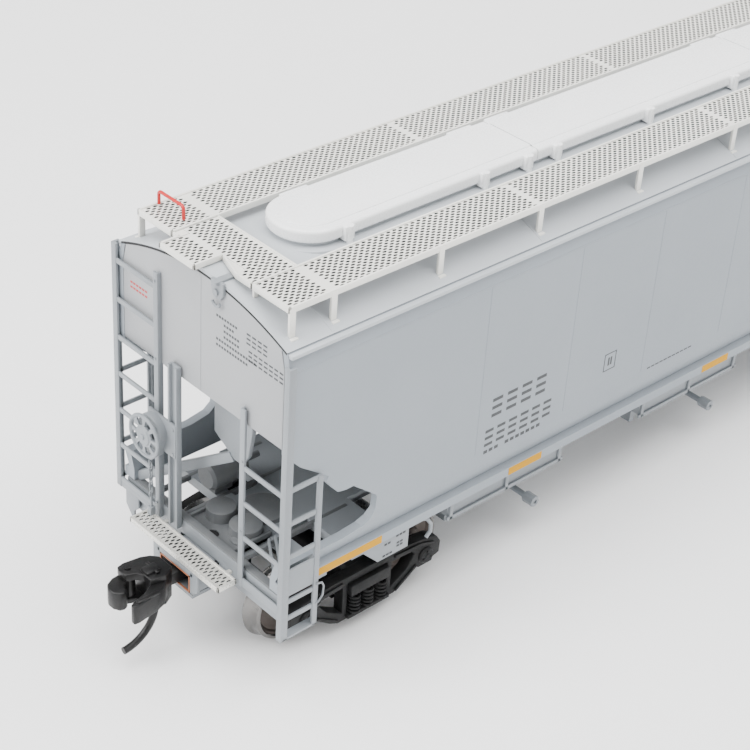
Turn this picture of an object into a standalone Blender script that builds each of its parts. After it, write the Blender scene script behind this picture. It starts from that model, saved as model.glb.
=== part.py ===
"""A four-bay covered hopper car in HO scale (1:87.1), as its separate mouldings and metal parts.

Shapes are drawn in millimetres and turn into metres when they become objects.
X runs along the car with the hand brake at -X, Y runs across it, and Z is up from the wheel flanges.
"""

import math

import bmesh
import bpy
from mathutils import Matrix, Vector

MM = 0.001

# Body
BODY_END = 100.0
SIDE_Y = 16.4
EAVE_Y = 15.8
EAVE_Z = 50.5
CHORD_Z = 48.05
CURVE_Z = 21.65
TUCK_Y = 15.0
TUCK_Z = 16.85
SILL_Y = 16.0
SILL_Z = 15.15
WALL = 1.0
END_SHEET_Z = 36.95
SLOPE_FOOT_X = 72.5
SLOPE_FOOT_Z = 15.4

# Roof
ROOF_RISE = 3.7
ROOF_WALL = 0.6
JOINT_GAP = 0.1
COAMING_X = 88.3
COAMING_Y = 4.5
COAMING_TOP = 55.0
HATCH_Y = 5.2
HATCH_END = 89.0
HATCH_JOINT = 49.0
HATCH_TOP = 56.6
BOARD_X = 98.6
BOARD_IN = 7.4
BOARD_OUT = 14.3
BOARD_TOP = 55.25
CROSSOVER_Z = (54.6, 55.05)
BOARD_POSTS = (0.0, 19.1, 38.7, 57.6, 74.9, 91.9, 98.0)

# Underframe
DECK_TOP = 13.65
DECK_Z = 13.0
DECK_Y = 4.8
FLOOR_TOP = 16.2
CENTRE_SILL_Y = 2.0
CENTRE_SILL_Z = 9.4
CENTRE_SILL_X = 94.2
BAY_PITCH = 38.95
BAYS = tuple((step - 1.5) * BAY_PITCH for step in range(4))
SHAFT_FROM_BAY = 6.9
WHEEL_ROOM_X = 65.2  # the end bays are cut back here, so that the inner wheels clear them on a curve

# Running gear
TREAD_R = 5.25
FLANGE_R = 5.9
AXLE_Z = FLANGE_R
AXLE_R = 1.2
AXLE_TIP_Y = 12.95
WHEEL_SIDES = 16
TRUCK_X = 82.5
WHEELBASE = 21.0
FRAME_IN = 11.5
FRAME_OUT = 13.3
SCREW_R = 0.9

# Couplers
COUPLER_Z = 10.55
PIVOT_X = 97.0
STRIKER_X = 104.0
BOX_BACK_X = 94.4
BOX_Y = 3.7
BOX_WALL = 0.6
KNUCKLE_X = 110.0
KNUCKLE_Y = 1.9

# Ladders and hand brake
LADDER_X = 100.45
LADDER_Y = 16.9
RUNG_R = 0.22
BRAKE_Y = 7.6
BRAKE_Z = 27.25
BRAKE_WHEEL_R = 3.15
BRAKE_PIN_R = 0.3

FINISHES = {
    "grey_body": ((0.45, 0.47, 0.50), 0.0, 0.45),
    "grey_roof": ((0.55, 0.57, 0.59), 0.0, 0.45),
    "white_hatch": ((0.80, 0.80, 0.78), 0.0, 0.30),
    "etched_walk": ((0.72, 0.70, 0.64), 0.6, 0.40),
    "red_grab": ((0.60, 0.05, 0.04), 0.0, 0.40),
    "grey_plastic": ((0.40, 0.42, 0.45), 0.0, 0.50),
    "black_plastic": ((0.02, 0.02, 0.022), 0.0, 0.45),
    "black_metal": ((0.03, 0.03, 0.03), 0.8, 0.45),
    "wheel_metal": ((0.45, 0.42, 0.38), 1.0, 0.35),
    "steel": ((0.50, 0.50, 0.50), 1.0, 0.30),
    "bronze": ((0.55, 0.38, 0.18), 1.0, 0.35),
}


def clear_scene():
    for old in list(bpy.data.objects):
        bpy.data.objects.remove(old, do_unlink=True)


# Shapes, in millimetres


def mesh_of(points, faces):
    """A mesh whose faces all point outwards."""
    mesh = bpy.data.meshes.new("shape")
    mesh.from_pydata([tuple(point) for point in points], [], faces)
    work = bmesh.new()
    work.from_mesh(mesh)
    bmesh.ops.recalc_face_normals(work, faces=work.faces)
    work.to_mesh(mesh)
    work.free()
    return mesh


def box(x, y, z):
    """A block between two places on each axis."""
    points = [(a, b, c) for a in sorted(x) for b in sorted(y) for c in sorted(z)]
    faces = [(0, 1, 3, 2), (4, 6, 7, 5), (0, 4, 5, 1), (2, 3, 7, 6), (0, 2, 6, 4), (1, 5, 7, 3)]
    return mesh_of(points, faces)


def prism(outline, axis, span):
    """A flat outline drawn out along an axis: (y, z) along X, (x, z) along Y or (x, y) along Z."""
    place = {
        "X": lambda a, b, t: (t, a, b),
        "Y": lambda a, b, t: (a, t, b),
        "Z": lambda a, b, t: (a, b, t),
    }[axis]
    count = len(outline)
    points = [place(a, b, t) for t in sorted(span) for a, b in outline]
    faces = [tuple(range(count)), tuple(range(2 * count - 1, count - 1, -1))]
    for i in range(count):
        j = (i + 1) % count
        faces.append((i, j, j + count, i + count))
    return mesh_of(points, faces)


def hull(points):
    """The convex solid around some points."""
    work = bmesh.new()
    for point in points:
        work.verts.new(point)
    found = bmesh.ops.convex_hull(work, input=work.verts)
    loose = [item for item in found["geom_interior"] if isinstance(item, bmesh.types.BMVert)]
    bmesh.ops.delete(work, geom=loose, context="VERTS")
    bmesh.ops.recalc_face_normals(work, faces=work.faces)
    mesh = bpy.data.meshes.new("shape")
    work.to_mesh(mesh)
    work.free()
    return mesh


def rod(start, end, radius, sides=8):
    """A straight round bar between two points."""
    start = Vector(start)
    end = Vector(end)
    work = bmesh.new()
    bmesh.ops.create_cone(
        work,
        cap_ends=True,
        segments=sides,
        radius1=radius,
        radius2=radius,
        depth=(end - start).length,
    )
    turn = (end - start).to_track_quat("Z", "Y").to_matrix().to_4x4()
    work.transform(Matrix.Translation((start + end) / 2) @ turn)
    mesh = bpy.data.meshes.new("shape")
    work.to_mesh(mesh)
    work.free()
    return mesh


def turned(profile, axis, centre, sides, ring=True):
    """A profile of (radius, distance along the axis) points turned round the axis.

    The profile is a closed ring, or is open and ends in a flat that closes the solid."""
    place = {
        "X": lambda r, t, c, s: (t, r * c, r * s),
        "Y": lambda r, t, c, s: (r * s, t, -r * c),
        "Z": lambda r, t, c, s: (r * c, r * s, t),
    }[axis]
    rows = len(profile)
    points = []
    for step in range(sides):
        angle = 2 * math.pi * step / sides
        for r, t in profile:
            spot = Vector(place(r, t, math.cos(angle), math.sin(angle)))
            points.append(spot + Vector(centre))
    faces = []
    for step in range(sides):
        ahead = (step + 1) % sides
        for i in range(rows if ring else rows - 1):
            j = (i + 1) % rows
            faces.append((step * rows + i, step * rows + j, ahead * rows + j, ahead * rows + i))
    if not ring:
        faces.append([step * rows for step in range(sides)])
        faces.append([step * rows + rows - 1 for step in range(sides)])
    return mesh_of(points, faces)


def stadium(half_length, half_width, z, sides=12):
    """A long bar with round ends, seen from above."""
    outline = []
    for end in (1, -1):
        for i in range(sides + 1):
            angle = math.pi * i / sides - math.pi / 2
            x = end * (half_length - half_width + half_width * math.cos(angle))
            outline.append((x, end * half_width * math.sin(angle)))
    return prism(outline, "Z", z)


def mirrored(mesh, x=1, y=1):
    """A copy of a shape on the other side of the car."""
    copy = mesh.copy()
    copy.transform(Matrix.Diagonal((x, y, 1, 1)))
    if x * y < 0:
        copy.flip_normals()
    return copy


def four_ways(mesh):
    """A shape repeated at all four corners of the car."""
    return [mirrored(mesh, x, y) for x in (-1, 1) for y in (-1, 1)]


def both_ends(mesh):
    return [mirrored(mesh, -1), mirrored(mesh)]


def both_sides(mesh):
    return [mirrored(mesh, 1, -1), mirrored(mesh)]


def helper(mesh, group):
    shape = bpy.data.objects.new("helper", mesh)
    group.objects.link(shape)
    return shape


def boolean(mesh, others, operation):
    """One mesh joined with, or cut by, some others."""
    if not others:
        return mesh
    group = bpy.data.collections.new("helpers")
    bpy.context.scene.collection.children.link(group)
    tools = bpy.data.collections.new("tools")
    group.children.link(tools)
    base = helper(mesh, group)
    for other in others:
        helper(other, tools)
    step = base.modifiers.new("join", "BOOLEAN")
    step.operation = operation
    step.solver = "EXACT"
    step.operand_type = "COLLECTION"
    step.collection = tools
    graph = bpy.context.evaluated_depsgraph_get()
    result = bpy.data.meshes.new_from_object(base.evaluated_get(graph))
    for shape in list(group.all_objects):
        bpy.data.objects.remove(shape, do_unlink=True)
    bpy.data.collections.remove(tools)
    bpy.data.collections.remove(group)
    return result


def material(name, finish):
    colour, metallic, roughness = FINISHES[finish]
    made = bpy.data.materials.new(name)
    made.use_nodes = True
    shader = made.node_tree.nodes["Principled BSDF"]
    shader.inputs["Base Color"].default_value = (*colour, 1)
    shader.inputs["Metallic"].default_value = metallic
    shader.inputs["Roughness"].default_value = roughness
    return made


def piece(name, finish, shapes, cuts=(), origin=(0, 0, 0), parent=None):
    """A named solid: its shapes joined, its cuts taken away, and its origin where it turns."""
    mesh = boolean(shapes[0], shapes[1:], "UNION")
    mesh = boolean(mesh, list(cuts), "DIFFERENCE")
    mesh.transform(Matrix.Scale(MM, 4) @ Matrix.Translation(-Vector(origin)))
    mesh.name = name
    mesh.materials.clear()
    mesh.materials.append(material(name, finish))
    mesh.shade_smooth()
    mesh.set_sharp_from_angle(angle=math.radians(35))
    made = bpy.data.objects.new(name, mesh)
    bpy.context.scene.collection.objects.link(made)
    made.location = Vector(origin) * MM
    if parent:
        made.parent = parent
        made.location -= parent.location
    return made


def end_name(end):
    return "b" if end < 0 else "a"


# Body, roof and what stands on it


def roof_z(y):
    return EAVE_Z + JOINT_GAP + ROOF_RISE * (1 - (y / EAVE_Y) ** 2)


def side_sheet():
    """The tucked-in side with its eave band and sill flange, on the +Y side."""
    mid_y = (SIDE_Y + TUCK_Y) / 2 + 0.25
    mid_z = (CURVE_Z + TUCK_Z) / 2
    outer = [
        (SILL_Y, SILL_Z),
        (SILL_Y, SILL_Z + 1.5),
        (TUCK_Y, TUCK_Z),
        (mid_y, mid_z),
        (SIDE_Y, CURVE_Z),
        (SIDE_Y, CHORD_Z),
        (EAVE_Y, EAVE_Z),
    ]
    inner = [(y - WALL, z) for y, z in outer[:1:-1]]
    return prism(outer + inner + [(TUCK_Y - WALL, SILL_Z)], "X", (-BODY_END, BODY_END))


def slope_sheet():
    """The sloping end floor at +X, in two runs so that it follows the tucked-in sides."""
    def station(z, half):
        along = (z - SLOPE_FOOT_Z) / (END_SHEET_Z - SLOPE_FOOT_Z)
        x = SLOPE_FOOT_X + along * (BODY_END - 0.6 - SLOPE_FOOT_X)
        return [(x + dx, side * half, z) for dx in (-1.6, 0) for side in (-1, 1)]

    high = hull(station(END_SHEET_Z + 0.5, SIDE_Y - 0.5) + station(CURVE_Z, SIDE_Y - 0.5))
    low = hull(station(CURVE_Z + 0.2, SIDE_Y - 0.5) + station(SLOPE_FOOT_Z, TUCK_Y - 0.5))
    return [high, low]


def side_cutout():
    """The opening in a side sheet below the slope sheet, at the +X +Y corner."""
    outline = [
        (BODY_END + 1, END_SHEET_Z - 0.6),
        (BODY_END, END_SHEET_Z - 0.6),
        (97.9, 34.1),
        (94.2, 31.4),
        (93.5, 30.1),
        (91.9, 27.6),
        (89.4, 27.4),
        (85.6, 24.8),
        (85.0, 22.6),
        (86.6, 19.8),
        (90.0, 19.4),
        (BODY_END + 1, 19.4),
    ]
    return prism(outline, "Y", (TUCK_Y - 1.6, SIDE_Y + 1))


def build_body():
    shoulder_y = EAVE_Y - ROOF_WALL - 0.1
    across = [1 - i / 6 for i in range(13)]
    crown = [(shoulder_y * t, EAVE_Z + (ROOF_RISE - ROOF_WALL) * (1 - t * t)) for t in across]
    lower = [(SIDE_Y - 0.8, END_SHEET_Z), (SIDE_Y - 0.8, CHORD_Z)]
    outline = lower + crown + [(-y, z) for y, z in lower[::-1]]
    end_sheet = prism(outline, "X", (BODY_END - 1.2, BODY_END))
    shapes = both_sides(side_sheet())
    for end_part in [end_sheet] + slope_sheet():
        shapes += both_ends(end_part)
    stencil_plate = prism(
        [(-86.6, 15.3), (-86.6, 15.05), (-83.4, 11.95), (-78.1, 11.95), (-78.1, 15.3)],
        "Y",
        (-15.8, -15.2),
    )
    opposite_plate = mirrored(stencil_plate, -1, -1)
    shapes += [stencil_plate, opposite_plate]
    piece("body_shell", "grey_body", shapes, four_ways(side_cutout()))


def build_roof():
    steps = 12
    foot_z = EAVE_Z + JOINT_GAP
    across = [2 * i / steps - 1 for i in range(steps + 1)]
    inner_y = EAVE_Y - ROOF_WALL
    inner_rise = ROOF_RISE - ROOF_WALL
    outer = [(EAVE_Y * t, foot_z + ROOF_RISE * (1 - t * t)) for t in across]
    inner = [(inner_y * t, foot_z + inner_rise * (1 - t * t)) for t in across[::-1]]
    arch = prism(outer + inner, "X", (-BODY_END, BODY_END))
    coaming = stadium(COAMING_X, COAMING_Y, (foot_z + ROOF_RISE - 0.5, COAMING_TOP))
    piece("roof", "grey_roof", [arch, coaming])


def build_hatches():
    rim = COAMING_TOP - 0.3
    under = COAMING_TOP + 0.1
    shoulder = HATCH_Y - 1.4
    section = [
        (-HATCH_Y, rim),
        (-HATCH_Y, HATCH_TOP - 0.5),
        (-shoulder, HATCH_TOP - 0.1),
        (0, HATCH_TOP),
        (shoulder, HATCH_TOP - 0.1),
        (HATCH_Y, HATCH_TOP - 0.5),
        (HATCH_Y, rim),
    ]
    outside = stadium(HATCH_END, HATCH_Y, (rim - 1, HATCH_TOP + 1))
    inside = stadium(HATCH_END - 0.5, HATCH_Y - 0.5, (rim - 1, under))
    joints = (-HATCH_END, -HATCH_JOINT, 0.0, HATCH_JOINT, HATCH_END)
    latches = ((-82, -59, -51), (-45.5, -27, -8.5), (8.5, 27, 45.5), (51, 59, 82))
    hinges = ((-81.5, -53), (-46, -3), (3, 46), (53, 81.5))
    for i in range(4):
        cover = prism(section, "X", (joints[i] + JOINT_GAP, joints[i + 1] - JOINT_GAP))
        shapes = [boolean(cover, [outside], "INTERSECT")]
        for x in latches[i]:
            shapes.append(box((x - 0.7, x + 0.7), (-HATCH_Y - 0.7, -HATCH_Y + 0.6), (rim, HATCH_TOP - 0.4)))
        for x in hinges[i]:
            shapes.append(box((x - 0.9, x + 0.9), (HATCH_Y - 0.6, HATCH_Y + 0.6), (rim, HATCH_TOP - 0.3)))
        piece(f"hatch_cover_{i + 1}", "white_hatch", shapes, [inside])


def build_running_boards():
    under = BOARD_TOP - 0.5
    outline = [(BOARD_IN, under), (BOARD_OUT, under), (BOARD_OUT, BOARD_TOP), (BOARD_IN, BOARD_TOP)]
    inner = BOARD_IN + 0.3
    outer = BOARD_OUT + 1.0
    saddle = [
        (inner, under + 0.1),
        (inner, roof_z(inner) + 0.35),
        (outer, roof_z(outer) + 0.35),
        (outer, under - 0.4),
        (BOARD_OUT - 0.2, under + 0.1),
    ]
    places = sorted({side * x for x in BOARD_POSTS for side in (-1, 1)})
    board = [prism(outline, "X", (-BOARD_X, BOARD_X))]
    board += [prism(saddle, "X", (x - 0.5, x + 0.5)) for x in places]
    piece("running_board_left", "etched_walk", board)
    piece("running_board_right", "etched_walk", [mirrored(shape, 1, -1) for shape in board])


def build_crossover(end):
    """The walk across the end of the roof, drawn for -X: a deeper landing and one bracket down the end."""
    reach = BOARD_IN - 0.1
    plan = [
        (-91.6, -reach),
        (-91.6, reach),
        (-BOARD_X, reach),
        (-BOARD_X, 6.3),
        (-101.3, 6.3),
        (-101.3, -0.3),
        (-97.0, -0.3),
        (-BOARD_X, -4.6),
        (-BOARD_X, -reach),
    ]
    shapes = [prism(plan, "Z", CROSSOVER_Z), box((-100.9, -100.2), (2.0, 4.0), (48.5, CROSSOVER_Z[0] + 0.2))]
    piece(f"crossover_{end_name(end)}", "etched_walk", [mirrored(shape, -end, -end) for shape in shapes])


def build_roof_grab(end):
    """A wire handhold across the running board, above the tall ladder."""
    x = end * 95.8
    inner, outer = (-end * 8.8, -end * 13.7)
    low = BOARD_TOP + 0.05
    high = BOARD_TOP + 1.8
    wire = [rod((x, y, low), (x, y, high), RUNG_R) for y in (inner, outer)]
    wire.append(rod((x, inner + end * RUNG_R, high), (x, outer - end * RUNG_R, high), RUNG_R))
    piece(f"roof_grab_{end_name(end)}", "red_grab", wire)


# Ladders and hand brake, at the corners and the brake end


def corner_ladder(name, x_side, y_side, end_span, side_span, corner_span, end_rungs, side_rungs, end_in, step_z=None):
    """An end ladder and a side ladder that share an angle stile round the body's corner."""
    thin = 0.28
    shapes = [
        box((LADDER_X - thin, LADDER_X + thin), (15.7, LADDER_Y + thin), corner_span),
        box((99.3, LADDER_X + thin), (LADDER_Y - thin, LADDER_Y + thin), corner_span),
        box((LADDER_X - thin, LADDER_X + thin), (end_in - 0.4, end_in + 0.4), end_span),
        box((94.8, 95.5), (LADDER_Y - thin, LADDER_Y + thin), side_span),
    ]
    for z in end_rungs:
        shapes.append(rod((LADDER_X, end_in, z), (LADDER_X, 16.2, z), RUNG_R, 6))
    for z in side_rungs:
        shapes.append(rod((95.1, LADDER_Y, z), (99.9, LADDER_Y, z), RUNG_R, 6))
    if step_z:
        shapes.append(box((94.8, LADDER_X), (LADDER_Y - 1.0, LADDER_Y + thin), (step_z, step_z + 0.4)))
    piece(name, "grey_plastic", [mirrored(shape, x_side, y_side) for shape in shapes])


def build_ladders():
    tall_rungs = [47.85 - 5.58 * i for i in range(7)]
    short_rungs = (30.95, 25.65, 20.35, 13.75)
    side_rungs = (31.7, 26.75, 21.65, 14.65, 11.95)
    for end in (-1, 1):
        left = -end
        tall = (13.05, 50.2)
        corner_ladder(
            f"ladder_{end_name(end)}_left", end, left, tall, tall, tall, tall_rungs, tall_rungs, 8.1
        )
        corner_ladder(
            f"ladder_{end_name(end)}_right", end, -left, (12.5, 39.45), (8.65, 31.95), (8.65, 49.15),
            short_rungs, side_rungs, 8.9, 8.65,
        )


def build_hand_brake():
    post = box((-101.0, -100.2), (3.5, 5.3), (13.9, 38.65))
    backing = box((-101.2, -100.8), (3.6, 9.4), (25.0, 30.2))
    gearbox = prism(
        [(6.0, 24.2), (9.2, 24.2), (9.2, 29.4), (8.4, 30.6), (6.8, 30.6), (6.0, 29.4)], "X", (-102.4, -101.0)
    )
    pin = rod((-102.2, BRAKE_Y, BRAKE_Z), (-103.5, BRAKE_Y, BRAKE_Z), BRAKE_PIN_R, 12)
    piece("brake_housing", "grey_plastic", [post, backing, gearbox, pin])
    hub = (-102.55, -103.25)
    rim = (-102.75, -103.2)
    rim_in = BRAKE_WHEEL_R - 0.45
    bore = BRAKE_PIN_R + 0.07
    ring = [(rim_in, rim[0]), (BRAKE_WHEEL_R, rim[0]), (BRAKE_WHEEL_R, rim[1]), (rim_in, rim[1])]
    boss = [(bore, hub[0]), (0.95, hub[0]), (0.95, hub[1]), (bore, hub[1])]
    centre = (0, BRAKE_Y, BRAKE_Z)
    shapes = [turned(ring, "X", centre, 24), turned(boss, "X", centre, 12)]
    for i in range(8):
        angle = math.pi * i / 4
        inner = Vector((-102.95, math.cos(angle) * 0.7, math.sin(angle) * 0.7)) + Vector(centre)
        outer = Vector((-102.95, math.cos(angle) * 2.9, math.sin(angle) * 2.9)) + Vector(centre)
        shapes.append(rod(inner, outer, 0.17, 6))
    piece("brake_wheel", "grey_plastic", shapes, origin=(-102.9, BRAKE_Y, BRAKE_Z))
    chain = [
        rod((-101.7, 8.0, 24.0), (-101.7, 8.0, 14.4), 0.3),
        box((-102.2, -101.2), (7.6, 8.4), (14.0, 15.4)),
    ]
    piece("brake_rod", "black_metal", chain)
    step = [box((-STRIKER_X, -101.0), (-8.8, 9.6), (13.2, DECK_TOP))]
    step += [box((-103.6, -100.1), (y - 0.35, y + 0.35), (12.85, 13.3)) for y in (-6.5, 6.5)]
    piece("brake_platform", "etched_walk", step)


# Underframe and what hangs from it


def build_underframe():
    half = TUCK_Y - WALL - 0.2
    foot = SLOPE_FOOT_X - 2.0
    floor = box((-foot, foot), (-half, half), (SILL_Z - 0.6, FLOOR_TOP))
    centre_sill = box((-CENTRE_SILL_X, CENTRE_SILL_X), (-CENTRE_SILL_Y, CENTRE_SILL_Y), (CENTRE_SILL_Z, DECK_Z + 0.3))
    deck = box((foot - 1.4, BODY_END), (-DECK_Y, DECK_Y), (DECK_Z, DECK_TOP))
    cross_beam = box((90.4, 92.4), (-half, half), (DECK_Z - 0.8, DECK_TOP))
    bolster_cover = box((TRUCK_X - 3.5, TRUCK_X + 3.5), (-half, half), (DECK_Z, DECK_TOP))
    rise = box((foot - 1.4, foot), (-half, half), (DECK_Z, FLOOR_TOP))
    sill_x = (BODY_END - 1.2, BODY_END)
    sill_top = DECK_TOP + 1.25
    over_box = box(sill_x, (-15.5, 15.5), (DECK_Z - 0.2, sill_top))
    beside_box = box(sill_x, (BOX_Y + 0.3, 15.5), (11.0, sill_top))
    bolster = box((TRUCK_X - 2.4, TRUCK_X + 2.4), (-12.5, 12.5), (10.9, DECK_Z + 0.2))
    plate = rod((TRUCK_X, 0, 9.1), (TRUCK_X, 0, 11.0), 2.7, 20)
    shapes = [floor, centre_sill]
    end_sill = [over_box, beside_box, mirrored(beside_box, 1, -1)]
    for end_part in [deck, cross_beam, bolster_cover, rise, bolster, plate] + end_sill:
        shapes += both_ends(end_part)
    for x in BAYS:
        levels = ((15.1, 12.0, half), (13.4, 11.35, 14.3), (11.2, 10.6, 14.3), (7.3, 5.4, 8.8))
        shapes.append(hull([(x + a * dx, b * dy, z) for z, dx, dy in levels for a in (-1, 1) for b in (-1, 1)]))
    cuts = both_ends(rod((TRUCK_X, 0, 8.0), (TRUCK_X, 0, 12.6), SCREW_R + 0.1, 16))
    cuts += both_ends(box((WHEEL_ROOM_X, foot + 1), (-11.0, 11.0), (7.0, 11.9)))
    piece("underframe", "grey_plastic", shapes, cuts)
    piece("steel_weight", "steel", [box((-68, 68), (-12.6, 12.6), (FLOOR_TOP + 0.1, FLOOR_TOP + 3.9))])


def build_outlets():
    for i, x in enumerate(BAYS):
        gate = [
            box((x - 6.0, x + 6.0), (-9.2, 9.2), (6.2, 7.2)),
            box((x - 6.0, x - 5.0), (-9.2, 9.2), (5.3, 6.4)),
            box((x + 5.0, x + 6.0), (-9.2, 9.2), (5.3, 6.4)),
        ]
        shaft_x = x - math.copysign(SHAFT_FROM_BAY, x)
        shaft = [rod((shaft_x, -13.6, 5.65), (shaft_x, 13.6, 5.65), 0.45)]
        for side in (-1, 1):
            shaft.append(rod((shaft_x, side * 12.6, 5.65), (shaft_x, side * 14.4, 5.65), 0.85))
        piece(f"outlet_gate_{i + 1}", "black_plastic", gate)
        piece(f"gate_shaft_{i + 1}", "grey_plastic", shaft)


def build_air_brake():
    tank = [
        rod((91.4, -8.0, 17.4), (91.4, 3.0, 17.4), 2.5, 16),
        box((90.6, 92.2), (-6.5, -5.5), (13.75, 16.0)),
        box((90.6, 92.2), (0.5, 1.5), (13.75, 16.0)),
    ]
    piece("air_reservoir", "black_plastic", tank)
    valve = [
        box((87.6, 91.4), (6.2, 9.6), (13.75, 17.6)),
        rod((89.5, 9.0, 16.0), (89.5, 11.6, 16.0), 1.2, 12),
    ]
    piece("control_valve", "black_plastic", valve)
    cylinder = [
        rod((-93.5, 7.2, 16.6), (-87.5, 7.2, 16.6), 2.0, 16),
        rod((-88.0, 7.2, 16.6), (-84.6, 7.2, 16.6), 0.5, 8),
        box((-92.5, -89.5), (6.4, 8.0), (13.75, 15.5)),
    ]
    piece("brake_cylinder", "black_plastic", cylinder)


# Trucks


def side_frame():
    """One cast-looking side of a truck at +Y, about the truck's centre."""
    half = [
        (5.2, 2.0),
        (9.2, 4.2),
        (12.2, 4.0),
        (13.2, 4.6),
        (13.2, 7.2),
        (11.8, 8.3),
        (7.0, 9.2),
    ]
    outline = half + [(-x, z) for x, z in half[::-1]]
    shapes = [prism(outline, "Y", (FRAME_IN, FRAME_OUT))]
    cuts = []
    for side in (-1, 1):
        x = side * WHEELBASE / 2
        shapes.append(rod((x, FRAME_OUT - 0.2, AXLE_Z), (x, FRAME_OUT + 0.6, AXLE_Z), 1.3, 12))
        window = [(side * 4.4, 7.9), (side * 8.4, 7.5), (side * 7.2, 5.4), (side * 4.4, 3.6)]
        cuts.append(prism(window, "Y", (FRAME_IN - 1, FRAME_OUT + 1)))
        for z in (2.9, 4.4):
            shapes.append(box((side * 0.5, side * 3.1), (FRAME_OUT - 0.2, FRAME_OUT + 0.45), (z, z + 1.1)))
        cone = [(1.11, FRAME_IN - 0.5), (0.08, FRAME_IN + 1.56)]
        cuts.append(turned(cone, "Y", (x, 0, AXLE_Z), 16, ring=False))
    shapes.append(box((-3.4, 3.4), (FRAME_OUT - 0.2, FRAME_OUT + 0.7), (6.0, 8.0)))
    return shapes, cuts


def build_truck(end):
    x = end * TRUCK_X
    name = end_name(end)
    hub = bpy.data.objects.new(f"truck_pivot_{name}", None)
    bpy.context.scene.collection.objects.link(hub)
    hub.location = Vector((x, 0, AXLE_Z)) * MM
    frame, cuts = side_frame()
    shapes = [box((-2.6, 2.6), (-FRAME_IN - 0.3, FRAME_IN + 0.3), (4.0, 8.9))]
    holes = [rod((0, 0, 3), (0, 0, 10), SCREW_R + 0.08, 16)]
    for shape in frame:
        shapes += both_sides(shape)
    for cut in cuts:
        holes += both_sides(cut)
    for shape in shapes + holes:
        shape.transform(Matrix.Translation((x, 0, 0)))
    piece(f"truck_frame_{name}", "black_plastic", shapes, holes, (x, 0, AXLE_Z), hub)
    screw = [
        rod((x, 0, 3.5), (x, 0, 12.4), SCREW_R, 12),
        rod((x, 0, 2.9), (x, 0, 3.8), 1.8, 12),
    ]
    piece(f"truck_screw_{name}", "steel", screw)
    return hub


def build_wheelset(number, x, hub):
    centre = (x, 0, AXLE_Z)
    half = [(AXLE_R, 10.3), (0.785, 10.5), (0.785, FRAME_IN), (0.06, AXLE_TIP_Y)]
    profile = [(r, -y) for r, y in half[::-1]] + half
    axle = piece(f"axle_{number}", "steel", [turned(profile, "Y", centre, 16, ring=False)], (), centre, hub)
    bore = AXLE_R + 0.03
    tyre = [
        (bore, 7.1),
        (2.2, 7.1),
        (2.3, 8.0),
        (4.5, 8.0),
        (4.6, 7.2),
        (5.6, 7.2),
        (FLANGE_R, 7.6),
        (TREAD_R, 8.1),
        (TREAD_R, 9.75),
        (4.6, 9.75),
        (4.4, 9.0),
        (2.2, 9.0),
        (2.1, 9.9),
        (bore, 9.9),
    ]
    for side, word in ((1, "left"), (-1, "right")):
        wheel = turned([(r, side * y) for r, y in tyre], "Y", centre, WHEEL_SIDES)
        made = piece(f"wheel_{number}_{word}", "wheel_metal", [wheel], (), centre, hub)
        made.parent = axle
        made.location = (0, 0, 0)


# Couplers


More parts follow.
